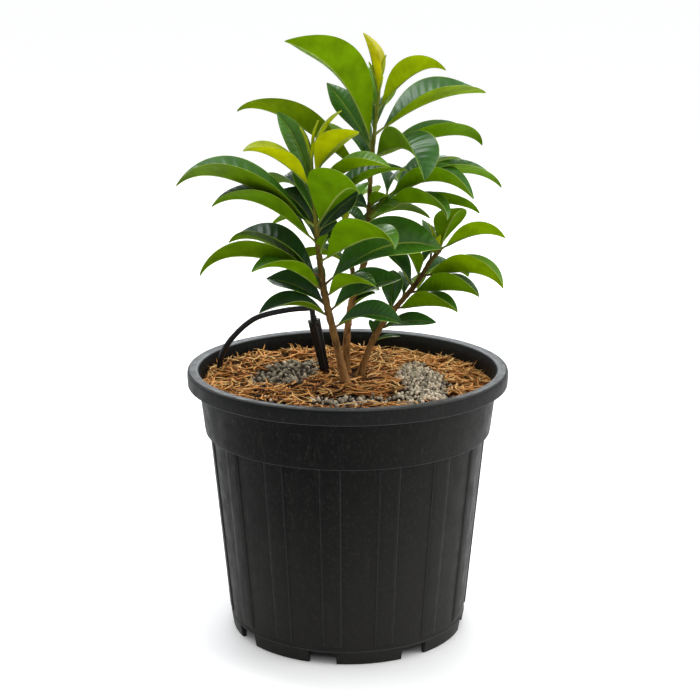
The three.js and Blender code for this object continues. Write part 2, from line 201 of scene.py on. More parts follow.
# Lays a second colour over the first where the driver rises from low to high
def layOver(material, base, driver, colour, low, high, most):
    tree = material.node_tree
    mix = tree.nodes.new("ShaderNodeMix")
    mix.data_type = "RGBA"
    tree.links.new(spanOf(material, driver, low, high, 0, most), mix.inputs["Factor"])
    tree.links.new(base, mix.inputs["A"])
    mix.inputs["B"].default_value = (*colour, 1)
    tree.links.new(mix.outputs["Result"], skinOf(material).inputs["Base Color"])
    return mix.outputs["Result"]


def roughBy(material, driver, low, high):
    rough = spanOf(material, driver, *cloudSpan, low, high)
    material.node_tree.links.new(rough, skinOf(material).inputs["Roughness"])


def reliefBy(material, driver, strength, depth):
    tree = material.node_tree
    bump = tree.nodes.new("ShaderNodeBump")
    bump.inputs["Strength"].default_value = strength
    bump.inputs["Distance"].default_value = depth * mm
    tree.links.new(driver, bump.inputs["Height"])
    tree.links.new(bump.outputs["Normal"], skinOf(material).inputs["Normal"])


# Each layer has its axis, colour, the places where it starts and is thickest, and how thick that is. The
# first is dust and painted shade; the other two are painted light.
plasticLook = {
    "base": [(0.3, (0.002, 0.002, 0.002)), (0.7, (0.0038, 0.0037, 0.0035))],
    "dustAndPaintedLight": [
        # Dust on the lower wall. Because it stops at the band, the band stays darker, as painted shade under
        # the rim.
        ("Z", (0.023, 0.0224, 0.0204), 180, 0, 0.85),     # below the band
        # Painted light: the pot made lighter towards its right side.
        ("X", (0.04, 0.039, 0.036), -20, 80, 0.28),     # to the right
        # Painted reflection: the rim above the band made lighter and bluer, as a sheen.
        ("Z", (0.03, 0.031, 0.033), 223.5, 224.5, 0.2),     # on the rim
    ],
    "scuff": (0.026, 0.024, 0.019), "speck": (0.05, 0.047, 0.041), "wornAndHighlight": (0.19, 0.2, 0.215),
    "shine": 0.065, "rimShine": 0.5,
}


def potPlastic(name, shine):
    look = plasticLook
    material = newFinish(name, (0.003, 0.003, 0.003), rough=0.5, shine=shine)
    base = colourBy(material, cloud(material, size=45, detail=5), look["base"])
    for axis, colour, low, high, most in look["dustAndPaintedLight"]:
        base = layOver(material, base, placeAlong(material, axis), colour, low * mm, high * mm, most)
    scuffs = cloud(material, size=5, detail=6, stretch=(1, 1, 9))
    base = layOver(material, base, scuffs, look["scuff"], low=0.6, high=0.78, most=0.5)
    specks = cloud(material, size=2.4, detail=5, stretch=(1, 1, 1.6), rough=0.7)
    base = layOver(material, base, specks, look["speck"], low=0.52, high=0.8, most=0.45)
    # Pale edge tone: wear on the edges, and painted highlights along the rim's inner top edge and the ribs'
    # bevels.
    layOver(material, base, toneOf(material), look["wornAndHighlight"], low=0.1, high=1.0, most=0.85)     # worn edges
    roughBy(material, cloud(material, size=14, detail=5), low=0.38, high=0.58)
    reliefBy(material, cloud(material, size=0.9, detail=3), strength=0.12, depth=0.12)
    return material


def tubePlastic():
    material = newFinish("tubePlastic", (0.008, 0.008, 0.009), rough=0.36, shine=0.35)
    ramp = [(0.3, (0.005, 0.005, 0.006)), (0.7, (0.011, 0.011, 0.012))]
    colourBy(material, cloud(material, size=12), ramp)
    roughBy(material, cloud(material, size=6), low=0.26, high=0.42)
    reliefBy(material, cloud(material, size=0.6, detail=2), strength=0.08, depth=0.08)
    return material


barkLook = {
    "upward": [(0.0, (0.4, 0.2, 0.068)), (0.4, (0.11, 0.064, 0.011)), (0.7, (0.15, 0.125, 0.014)),
               (1.0, (0.19, 0.26, 0.02))],
    "furrow": (0.05, 0.025, 0.009), "fleck": (0.33, 0.22, 0.11),
}


def barkFinish():
    material = newFinish("bark", (0.14, 0.085, 0.045), rough=0.85, shine=0.25)
    base = colourBy(material, toneOf(material), barkLook["upward"])
    furrows = cloud(material, size=3.2, detail=5, stretch=(1, 1, 3.5))
    base = layOver(material, base, furrows, barkLook["furrow"], low=0.5, high=0.68, most=0.7)
    flecks = cloud(material, size=2.2, stretch=(1, 1, 1.6))
    layOver(material, base, flecks, barkLook["fleck"], low=0.6, high=0.72, most=0.45)
    reliefBy(material, cloud(material, size=1.3, stretch=(1, 1, 3)), strength=0.35, depth=0.3)
    return material


leafTones = {
    # The deep tone is a shaded copy: painted shade for the low leaves inside the crown.
    "deep": {"top": (0.012, 0.056, 0.011), "under": (0.1, 0.2, 0.002), "rough": 0.33, "quilt": 1.0},
    "dark": {"top": (0.03, 0.115, 0.012), "under": (0.125, 0.25, 0.002), "rough": 0.33, "quilt": 1.0},
    "mid": {"top": (0.045, 0.15, 0.01), "under": (0.15, 0.3, 0.002), "rough": 0.3, "quilt": 0.9},
    # The dusk tone has a top like mid's and a darker underside as painted shade.
    "dusk": {"top": (0.045, 0.15, 0.012), "under": (0.09, 0.172, 0.002), "rough": 0.32, "quilt": 1.0},
    "olive": {"top": (0.035, 0.125, 0.012), "under": (0.205, 0.32, 0.002), "rough": 0.36, "quilt": 0.9},
    "fresh": {"top": (0.06, 0.18, 0.006), "under": (0.125, 0.255, 0.001), "rough": 0.34, "quilt": 0.8},
    "spring": {"top": (0.1, 0.24, 0.008), "under": (0.165, 0.305, 0.001), "rough": 0.33, "quilt": 0.75},
    "light": {"top": (0.12, 0.27, 0.008), "under": (0.22, 0.37, 0.001), "rough": 0.32, "quilt": 0.7},
    # The lime tone is painted light: a lighter copy for a leaf with light shining through it.
    "lime": {"top": (0.2, 0.33, 0.008), "under": (0.31, 0.43, 0.001), "rough": 0.34, "quilt": 0.6},
    "young": {"top": (0.36, 0.42, 0.008), "under": (0.47, 0.52, 0.001), "rough": 0.36, "quilt": 0.5},
    # The gold tone is a young leaf's yellow, lightened as painted light.
    "gold": {"top": (0.56, 0.52, 0.01), "under": (0.76, 0.68, 0.003), "rough": 0.36, "quilt": 0.5},
}
leafLook = {
    "topShine": 0.6, "underShine": 0.02, "underRough": 0.2, "vein": (0.34, 0.45, 0.07),
    "darker": 0.78, "paler": 1.2, "stops": (0.32, 0.5, 0.7), "glossier": 0.03, "duller": 0.04,
}


def leafFinish(name, colour, rough, shine):
    material = newFinish(name, colour, rough, shine)
    darker = [leafLook["darker"] * part for part in colour]
    paler = [min(1.0, leafLook["paler"] * part) for part in colour]
    ramp = list(zip(leafLook["stops"], (darker, colour, paler)))
    colourBy(material, cloud(material, size=16), ramp)
    patches = cloud(material, size=7, detail=3)
    roughBy(material, patches, rough - leafLook["glossier"], rough + leafLook["duller"])
    reliefBy(material, cloud(material, size=0.8, detail=2), strength=0.05, depth=0.1)
    return material


def plainFinish(name, colour, rough, shine, size, depth, shade=0.6):
    material = newFinish(name, colour, rough, shine)
    darker = [shade * part for part in colour]
    colourBy(material, cloud(material, size), [(0.3, darker), (0.62, colour)])
    reliefBy(material, cloud(material, 0.5 * size, detail=3), strength=0.4, depth=depth)
    return material


# Camera, lamps and floor

view = {"place": (2.0, -1400.0, 607.0), "pitch": 14.25, "lens": 84.5, "sensor": 36, "farthest": 100000}

lamps = {
    "topPanel": {"place": (-150, 100, 2300), "aim": (0, 0, 350), "size": (320, 1500),
                 "watts": 17, "tint": (0.93, 0.97, 1)},
    "backPanel": {"place": (0, 2300, 1500), "aim": (0, 0, 350), "size": (1700, 600),
                  "watts": 26, "tint": (0.93, 0.97, 1)},
    "leftPanel": {"place": (-1700, 600, 900), "aim": (0, 0, 250), "size": (900, 1500),
                  "watts": 5.5, "tint": (1, 1, 1)},
    "rightPanel": {"place": (1750, -350, 1000), "aim": (0, 0, 250), "size": (900, 1500),
                   "watts": 12, "tint": (1, 0.99, 0.97)},
}
ceiling = {"spread": 110, "strength": 1.9, "tilt": (-12, 14)}
studio = {
    "glow": 0.27, "tint": (0.97, 0.985, 1), "backdrop": 1.0,
    "floorGlow": 0.2, "paintedShadowEdge": (88, 112), "floorColour": (0.97, 0.97, 0.97), "floorReach": 30000,
}


def setCamera():
    data = bpy.data.cameras.new("photoView")
    data.lens = view["lens"]
    data.sensor_width = view["sensor"]
    data.clip_end = view["farthest"] * mm
    camera = addObject("photoView", data)
    camera.location = [part * mm for part in view["place"]]
    camera.rotation_euler = (math.radians(90 - view["pitch"]), 0, 0)
    bpy.context.scene.camera = camera


def setLamps():
    for name, lamp in lamps.items():
        data = bpy.data.lights.new(name, "AREA")
        data.shape = "RECTANGLE"
        data.size, data.size_y = [part * mm for part in lamp["size"]]
        data.energy = lamp["watts"]
        data.color = lamp["tint"]
        panel = addObject(name, data)
        place = Vector(lamp["place"]) * mm
        panel.location = place
        panel.rotation_euler = (Vector(lamp["aim"]) * mm - place).to_track_quat("-Z", "Y").to_euler()
        panel.visible_camera = False
    data = bpy.data.lights.new("softCeiling", "SUN")
    data.angle = math.radians(ceiling["spread"])
    data.energy = ceiling["strength"]
    sky = addObject("softCeiling", data)
    sky.rotation_euler = [math.radians(part) for part in (*ceiling["tilt"], 0)]
    sky.visible_glossy = False


# A dim studio round the object, and a white backdrop where the view passes the floor's edge
def setStudio():
    world = bpy.data.worlds.new("studio")
    world.use_nodes = True
    tree = world.node_tree
    glow = tree.nodes["Background"]
    glow.inputs["Color"].default_value = (*studio["tint"], 1)
    glow.inputs["Strength"].default_value = studio["glow"]
    backdrop = tree.nodes.new("ShaderNodeBackground")
    backdrop.inputs["Color"].default_value = (1, 1, 1, 1)
    backdrop.inputs["Strength"].default_value = studio["backdrop"]
    path = tree.nodes.new("ShaderNodeLightPath")
    mix = tree.nodes.new("ShaderNodeMixShader")
    tree.links.new(path.outputs["Is Camera Ray"], mix.inputs["Fac"])
    tree.links.new(glow.outputs["Background"], mix.inputs[1])
    tree.links.new(backdrop.outputs["Background"], mix.inputs[2])
    tree.links.new(mix.outputs["Shader"], tree.nodes["World Output"].inputs["Surface"])
    bpy.context.scene.world = world
    bpy.context.scene.view_settings.view_transform = "Standard"


# The floor glows a little so that it stays white far off; the glow is left off under and just round the pot,
# which paints a contact shadow there
def setFloor():
    mesh = bpy.data.meshes.new("paleFloor")
    reach = studio["floorReach"] * mm
    corners = [(-reach, -reach, 0), (reach, -reach, 0), (reach, reach, 0), (-reach, reach, 0)]
    mesh.from_pydata(corners, [], [(0, 1, 2, 3)])
    finish = newFinish("paleFloor", studio["floorColour"], rough=0.8, shine=0.1)
    skinOf(finish).inputs["Emission Color"].default_value = (1, 1, 1, 1)
    tree = finish.node_tree
    place = tree.nodes.new("ShaderNodeTexCoord")
    away = tree.nodes.new("ShaderNodeVectorMath")
    away.operation = "LENGTH"
    tree.links.new(place.outputs["Object"], away.inputs[0])
    low, high = [part * mm for part in studio["paintedShadowEdge"]]
    # No glow inside the inner radius: a painted contact shadow under and round the pot.
    glow = spanOf(finish, away.outputs["Value"], low, high, 0, studio["floorGlow"])
    tree.links.new(glow, skinOf(finish).inputs["Emission Strength"])
    mesh.materials.append(finish)
    floor = addObject("paleFloor", mesh)


setCamera()
setLamps()
setStudio()
setFloor()
print("camera, lamps and floor set")


# Pot

pot = {
    "height": 237.5, "rimRadius": 141, "rimTop": 9.5, "rimHeight": 13.7, "rimSkin": 1.6, "wall": 3,
    "bandHeight": 42.3, "bandTopRadius": 131, "bandFootRadius": 126, "ledge": 5,
    "footRadius": 104.2, "ringHeight": 13.5, "floorRise": 10, "floorMiddle": 20, "turnStep": 1.5,
}
ribs = {"count": 15, "first": -97, "width": 8.5, "proud": 1.1, "foot": 16.5, "bevel": 0.5, "sunk": 1.0}
notches = {"count": 8, "first": -102, "width": 24, "height": 10, "edge": 0.12, "clear": 0.6, "slant": 0.02}
skirtFoot = pot["height"] - pot["rimHeight"]
bandFoot = skirtFoot - pot["bandHeight"]


def potRadius(height):
    if height > bandFoot:
        return np.interp(height, [bandFoot, skirtFoot], [pot["bandFootRadius"], pot["bandTopRadius"]])
    return np.interp(height, [0, bandFoot], [pot["footRadius"], pot["bandFootRadius"] - pot["ledge"]])


# Rounds the corners of an outline given as radius, height, corner radius and a pale edge tone for wear and
# painted highlights
def roundedOutline(corners, steps=5, longest=0.45):
    outline = []
    for k, (radius, height, bend, wearAndHighlight) in enumerate(corners):
        here = np.array([radius, height], dtype=float)
        if not bend:
            outline.append((*here, wearAndHighlight))
            continue
        before = np.array(corners[k - 1][:2]) - here
        after = np.array(corners[k + 1][:2]) - here
        cut = min(bend, longest * np.linalg.norm(before), longest * np.linalg.norm(after))
        start = here + before / np.linalg.norm(before) * cut
        stop = here + after / np.linalg.norm(after) * cut
        for share in np.linspace(0, 1, steps):
            spot = (1 - share) ** 2 * start + 2 * share * (1 - share) * here + share ** 2 * stop
            outline.append((*spot, wearAndHighlight * (1 - abs(2 * share - 1))))
    return np.array(outline)


# The pot's section, from the middle of its underside out, up, over the rim and down inside
def potCorners():
    rim, lipInner = pot["rimRadius"], pot["rimRadius"] - pot["rimTop"]
    bandTop, bandLow = pot["bandTopRadius"], pot["bandFootRadius"]
    rise, wall, top = pot["floorRise"], pot["wall"], pot["height"]
    ring, foot = pot["ringHeight"], pot["footRadius"]
    return [
        (pot["floorMiddle"], rise, 0, 0),
        (potRadius(rise) - wall - 1, rise, 1.5, 0),
        (foot - wall - 1, 0, 0.8, 0),     # foot ring
        (foot - 0.2, 0, 1.2, 0.3),
        (potRadius(ring) + 0.6, ring - 1, 0.6, 0.4),
        (potRadius(ring), ring, 0.3, 0),
        *[(potRadius(z), z, 0, 0) for z in np.linspace(ring + 4, bandFoot - 3, 9)],
        (potRadius(bandFoot - 0.01), bandFoot - 0.2, 0.6, 0),     # ledge and band
        (bandLow - 0.2, bandFoot, 1.0, 0.35),
        *[(potRadius(z), z, 0, 0) for z in np.linspace(bandFoot + 5, skirtFoot - 3, 4)],
        (bandTop, skirtFoot, 0, 0),
        (bandTop + 0.5, top - 6, 1, 0),     # under the turned-down lip
        (lipInner + 1, top - 3.2, 1, 0),
        (rim - 3.6, top - 3.2, 1, 0),
        (rim - 4, skirtFoot, 0.6, 0.2),
        (rim - 0.4, skirtFoot, 1.0, 0.4),     # lip
        (rim, top - 5, 2.0, 0),
        (rim - 0.4, top, 3.2, 0.15),
        # The rim's inner top edge gets the full pale tone: a painted highlight line.
        (lipInner + 0.4, top, 2.2, 1.0),
        (lipInner - 3, top - 6, 3.0, 0),     # inside
        (bandTop - wall, skirtFoot, 3, 0),
        (bandLow - wall, bandFoot + 2, 1, 0),
        (potRadius(bandFoot - 1) - wall, bandFoot - 1, 1, 0),
        (potRadius(rise + wall) - wall, rise + wall, 2, 0),
        (pot["floorMiddle"], rise + wall, 0, 0),
    ]


def turnGap(turns, middle):
    return abs((turns - middle + 180) % 360 - 180)


def makePotShell(finish, rimFinish):
    outline = roundedOutline(potCorners())
    half = math.degrees(math.asin(0.5 * notches["width"] / pot["footRadius"]))
    edge = notches["edge"]
    turns = set(np.arange(0, 360, pot["turnStep"]))
    middles = [(notches["first"] + k * 360 / notches["count"]) % 360 for k in range(notches["count"])]
    for middle in middles:
        turns -= {turn for turn in turns if abs(turnGap(turn, middle) - half) < notches["clear"]}
        turns |= {round((middle + side * (half + out)) % 360, 4) for side in (-1, 1) for out in (-edge, edge)}
    turns = np.array(sorted(turns))
    inNotch = np.zeros(len(turns), dtype=bool)
    for middle in middles:
        inNotch |= turnGap(turns, middle) < half
    angle = np.radians(turns)
    radius = np.repeat(outline[:, :1], len(turns), axis=1)
    height = np.repeat(outline[:, 1:2], len(turns), axis=1)
    roof = notches["height"]
    height = np.where(inNotch[None, :] & (height < roof), roof - notches["slant"] * (roof - height), height)
    grid = np.stack([radius * np.cos(angle), radius * np.sin(angle), height], axis=-1)
    bundle = newBundle()
    onRim = np.minimum(outline[:-1, 1:2], outline[1:, 1:2]) > pot["height"] - pot["rimSkin"]
    addTube(bundle, grid, slots=onRim.astype(int), tones=outline[:, 2:3])
    piece = buildPiece("potShell", bundle, [finish, rimFinish], sharp=40)
    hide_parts("pot")
    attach(piece, "root")


# One flat raised rib at heading 0, from the foot ring up under the ledge
def makeRibShape():
    half, bevel = math.radians(0.5 * ribs["width"]), math.radians(ribs["bevel"])
    inner = half - 0.4 * bevel
    turns = np.array([-half - bevel, -half, -inner, -0.5 * half, 0, 0.5 * half, inner, half, half + bevel])
    out = np.array([-1, 0.8, 1, 1, 1, 1, 1, 0.8, -1])
    # Pale tone on the bevels: wear, and a painted highlight along the rib's edges.
    wornAndHighlight = np.array([0, 0.2, 0.14, 0, 0, 0, 0.14, 0.2, 0])
    foot = ribs["foot"]
    steps = [(foot, 0.02), (foot + 1, 0.7), (foot + 2.4, 1)]     # heights, and the share of its depth there
    steps += [(height, 1) for height in np.linspace(foot + 8, bandFoot - 0.4, 9)]
    rows = []
    for height, proud in steps:
        radius = potRadius(height) + np.where(out > 0, out * proud * ribs["proud"], -ribs["sunk"])
        level = np.full(len(turns), height)
        rows.append(np.stack([radius * np.cos(turns), radius * np.sin(turns), level], axis=-1))
    bundle = newBundle()
    addTube(bundle, np.array(rows), tones=wornAndHighlight[None, :])
    return buildPiece("ribShape", bundle, [], sharp=50, mapped=False)


# Geometry node trees

def newTree(name, sockets):
    tree = bpy.data.node_groups.new(name, "GeometryNodeTree")
    tree.interface.new_socket("Geometry", in_out="OUTPUT", socket_type="NodeSocketGeometry")
    tree.interface.new_socket("Geometry", in_out="INPUT", socket_type="NodeSocketGeometry")
    for label, kind in sockets.items():
        tree.interface.new_socket(label, in_out="INPUT", socket_type="NodeSocket" + kind)
    entry = tree.nodes.new("NodeGroupInput")
    leave = tree.nodes.new("NodeGroupOutput")
    return tree, entry, leave


# Joins sockets, each given as source, outlet, target and inlet
def joinAll(tree, links):
    for source, outlet, target, inlet in links:
        tree.links.new(source.outputs[outlet], target.inputs[inlet])


# Makes the copies real, paints them and ends the tree
def endTree(tree, entry, leave, copies):
    realize = tree.nodes.new("GeometryNodeRealizeInstances")
    paint = tree.nodes.new("GeometryNodeSetMaterial")
    joinAll(tree, [
        (copies, "Instances", realize, "Geometry"),
        (realize, "Geometry", paint, "Geometry"),
        (entry, "Finish", paint, "Material"),
        (paint, "Geometry", leave, "Geometry"),
    ])


# Runs a tree on a carrier object and gives back a plain mesh piece
def growPiece(name, carrier, tree, values):
    modifier = carrier.modifiers.new(name, "NODES")
    modifier.node_group = tree
    for item in tree.interface.items_tree:
        if item.in_out == "INPUT" and item.name in values:
            modifier[item.identifier] = values[item.name]
    carrier.update_tag()
    depsgraph = bpy.context.evaluated_depsgraph_get()
    depsgraph.update()
    mesh = bpy.data.meshes.new_from_object(carrier.evaluated_get(depsgraph), depsgraph=depsgraph)
    mesh.name = name
    carrier.modifiers.remove(modifier)
    return addObject(name, mesh)


# Copies of a shape turned round the pot's axis
def ringTree():
    sockets = {"Shape": "Object", "Count": "Int", "First": "Float", "Finish": "Material"}
    tree, entry, leave = newTree("ringOfCopies", sockets)
    nodes = tree.nodes
    points = nodes.new("GeometryNodePoints")
    shape = nodes.new("GeometryNodeObjectInfo")
    index = nodes.new("GeometryNodeInputIndex")
    step = nodes.new("ShaderNodeMath")
    step.operation = "DIVIDE"
    step.inputs[0].default_value = 2 * math.pi
    turn = nodes.new("ShaderNodeMath")
    turn.operation = "MULTIPLY_ADD"
    spin = nodes.new("ShaderNodeCombineXYZ")
    copies = nodes.new("GeometryNodeInstanceOnPoints")
    joinAll(tree, [
        (entry, "Count", points, "Count"),
        (entry, "Shape", shape, "Object"),
        (entry, "Count", step, 1),
        (index, "Index", turn, 0),
        (step, "Value", turn, 1),
        (entry, "First", turn, 2),
        (turn, "Value", spin, "Z"),
        (points, "Points", copies, "Points"),
        (shape, "Geometry", copies, "Instance"),
        (spin, "Vector", copies, "Rotation"),
    ])
    endTree(tree, entry, leave, copies)
    return tree


# Copies of a shape strewn over a surface, as thick as the named share on it, each turned, leaned and lifted
# at random
def strewTree(shareName):
    sockets = {"Shape": "Object", "Seed": "Int", "Finish": "Material"}
    sockets.update({label: "Float" for label in ("Density", "Spacing", "Lean", "Lift", "Least", "Most")})
    tree, entry, leave = newTree("strewn_" + shareName, sockets)
    nodes = tree.nodes
    share = nodes.new("GeometryNodeInputNamedAttribute")
    share.data_type = "FLOAT"
    share.inputs["Name"].default_value = shareName
    strew = nodes.new("GeometryNodeDistributePointsOnFaces")
    strew.distribute_method = "POISSON"
    shape = nodes.new("GeometryNodeObjectInfo")
    back = nodes.new("ShaderNodeMath")
    back.operation = "MULTIPLY"
    back.inputs[1].default_value = -1.0
    lowTurn = nodes.new("ShaderNodeCombineXYZ")
    highTurn = nodes.new("ShaderNodeCombineXYZ")
    highTurn.inputs["Z"].default_value = 2 * math.pi
    turn, size, height = [nodes.new("FunctionNodeRandomValue") for _ in range(3)]
    turn.data_type = "FLOAT_VECTOR"
    size.data_type = height.data_type = "FLOAT"
    rise = nodes.new("ShaderNodeCombineXYZ")
    lift = nodes.new("GeometryNodeSetPosition")
    copies = nodes.new("GeometryNodeInstanceOnPoints")

    def inlet(node, label, kind):
        return next(s for s in node.inputs if s.name == label and s.type == kind)

    def outlet(node, kind):
        return next(s for s in node.outputs if s.type == kind)

    joinAll(tree, [
        (entry, "Geometry", strew, "Mesh"),
        (entry, "Density", strew, "Density Max"),
        (entry, "Spacing", strew, "Distance Min"),
        (entry, "Seed", strew, "Seed"),
        (entry, "Lean", back, 0),
        (strew, "Points", lift, "Geometry"),
        (rise, "Vector", lift, "Offset"),
        (entry, "Shape", shape, "Object"),
        (lift, "Geometry", copies, "Points"),
        (shape, "Geometry", copies, "Instance"),
    ])
    for axis in ("X", "Y"):
        joinAll(tree, [(back, "Value", lowTurn, axis), (entry, "Lean", highTurn, axis)])
    for node in (turn, size, height):
        joinAll(tree, [(entry, "Seed", node, "Seed")])
    for source, target in [
            (outlet(share, "VALUE"), strew.inputs["Density Factor"]),
            (lowTurn.outputs["Vector"], inlet(turn, "Min", "VECTOR")),
            (highTurn.outputs["Vector"], inlet(turn, "Max", "VECTOR")),
            (entry.outputs["Least"], inlet(size, "Min", "VALUE")),
            (entry.outputs["Most"], inlet(size, "Max", "VALUE")),
            (entry.outputs["Lift"], inlet(height, "Max", "VALUE")),
            (outlet(height, "VALUE"), rise.inputs["Z"]),
            (outlet(turn, "VECTOR"), copies.inputs["Rotation"]),
            (outlet(size, "VALUE"), copies.inputs["Scale"])]:
        tree.links.new(source, target)
    endTree(tree, entry, leave, copies)
    return tree


def dropShape(piece):
    mesh = piece.data
    bpy.data.objects.remove(piece)
    bpy.data.meshes.remove(mesh)


def makePotRibs(finish):
    shape = makeRibShape()
    values = {"Shape": shape, "Count": ribs["count"], "First": math.radians(ribs["first"]), "Finish": finish}
    carrier = addObject("ribCarrier", bpy.data.meshes.new("ribCarrier"))
    piece = growPiece("potRibs", carrier, ringTree(), values)
    dropShape(carrier)
    dropShape(shape)
    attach(piece, "root")


plastic = potPlastic("potPlastic", plasticLook["shine"])
makePotShell(plastic, potPlastic("rimPlastic", plasticLook["rimShine"]))       # the rim's top is rubbed shiny
makePotRibs(plastic)
print("pot made")


# Coir bed

bed = {
    "top": 226, "flatRadius": 46, "edgeTop": 219, "sink": 2.2, "clearance": 0.3, "below": (214, 205),
    "floor": 13.3, "floorMiddle": 30, "turns": 144, "rows": 46,
    "lumps": 1.3, "lumpLength": 26, "lumpSeed": 5, "crumbs": 0.65, "crumbLength": 9, "crumbSeed": 6,
    "leftHeap": 5.0, "leftFrom": (30, 105), "backHeap": 1.8, "backFrom": (10, 90), "heapFrom": (60, 118),
    "patchEdge": (0.72, 1.08), "gritEdge": (0.1, 0.45), "tuftsFrom": (104, 122), "paintedLightFrom": (0, 80),
    "bareAt": (12, 2), "bareReach": (8, 30), "bareLoss": 0.6,
    "coir": 0.75, "coirSpread": 0.3, "coirLength": 22, "coirSeed": 21,
}
# Patches of granules: middle, half axes, turn, how proud of the bed, how thick, and the pale ones' share
granulePatches = [
    {"middle": (66, -8), "axes": (24, 70), "turn": 6, "proud": 3.0, "share": 1.0, "pale": 0.8},
    {"middle": (55, -58), "axes": (24, 18), "turn": 0, "proud": 1.5, "share": 0.9, "pale": 0.8},
    {"middle": (-53, 22), "axes": (33, 54), "turn": -28, "proud": 2.0, "share": 0.7, "pale": 0.12},
    {"middle": (4, -66), "axes": (40, 17), "turn": 4, "proud": 0.8, "share": 0.55, "pale": 0.6},
    {"middle": (-52, -58), "axes": (34, 14), "turn": -25, "proud": 0.5, "share": 0.2, "pale": 0.9},
]
strandKinds = {
    "coirTan": {"colour": (0.98, 0.46, 0.135), "length": 18, "girth": 0.76, "bend": 2.4, "density": 42000,
                "lean": 12, "lift": 4.6, "share": "coirShare"},
    "coirStraw": {"colour": (1.0, 0.61, 0.23), "length": 15, "girth": 0.7, "bend": -1.8, "density": 44000,
                  "lean": 15, "lift": 5.4, "share": "strawAndLightShare"},
    "coirRust": {"colour": (0.5, 0.18, 0.04), "length": 17, "girth": 0.76, "bend": 1.6, "density": 30000,
                 "lean": 10, "lift": 3.4, "share": "coirShare"},
    "coirBrown": {"colour": (0.08, 0.035, 0.014), "length": 15, "girth": 0.68, "bend": -3, "density": 38000,
                  "lean": 12, "lift": 3.4, "share": "brownAndShadeShare"},
}
strand = {
    "rings": 6, "corners": (0.3, 2.4, 4.5), "wide": 1.25, "flat": 0.6, "bow": 0.6, "wriggle": 0.8,
    "wriggles": 7, "rise": 0.12, "twist": 0.6,
    "girthAt": (0, 0.2, 0.7, 1), "girth": (0.3, 1, 0.9, 0.22), "least": 0.55, "most": 1.3, "seed": 3,
}
tufts = {
    "kinds": ("coirTan", "coirStraw"), "density": 15000, "lean": 52, "lift": 5,
    "least": 0.5, "most": 1.0, "seed": 40,
}
granule = {
    "radius": 1.95, "axes": (1.3, 0.9, 0.8), "sides": 7, "rings": (-0.85, -0.35, 0.35, 0.85), "lumps": 0.16,
    "lumpLength": 1.6, "spacing": 3.3, "density": 200000, "lift": 1.3, "least": 0.6, "most": 1.15, "seed": 60,
    "lean": 3.0,     # in radians: they lie any way up
    "colours": {"pale": (0.92, 0.77, 0.58), "grey": (0.42, 0.36, 0.27)},
}


def patchShare(x, y, patch):
    turn = math.radians(patch["turn"])
    dx, dy = x - patch["middle"][0], y - patch["middle"][1]
    first = dx * math.cos(turn) + dy * math.sin(turn)
    second = dy * math.cos(turn) - dx * math.sin(turn)
    outward = np.hypot(first / patch["axes"][0], second / patch["axes"][1])
    return 1 - smoothStep(outward, *bed["patchEdge"])


def bedHeight(x, y):
    radius = np.hypot(x, y)
    wall = potRadius(bed["edgeTop"]) - pot["wall"]
    level = np.interp(radius, [bed["flatRadius"], wall], [bed["top"], bed["edgeTop"]]) - bed["sink"]
    spots = np.stack([x, y, np.zeros_like(x)], axis=-1)
    level = level + bed["lumps"] * ripple(spots, bed["lumpLength"], bed["lumpSeed"])
    level = level + bed["crumbs"] * ripple(spots, bed["crumbLength"], bed["crumbSeed"])
    outward = smoothStep(radius, *bed["heapFrom"])
    level = level + bed["leftHeap"] * outward * smoothStep(-x, *bed["leftFrom"])
    level = level + bed["backHeap"] * outward * smoothStep(y, *bed["backFrom"])
    for patch in granulePatches:
        level = level + patch["proud"] * patchShare(x, y, patch)
    return level


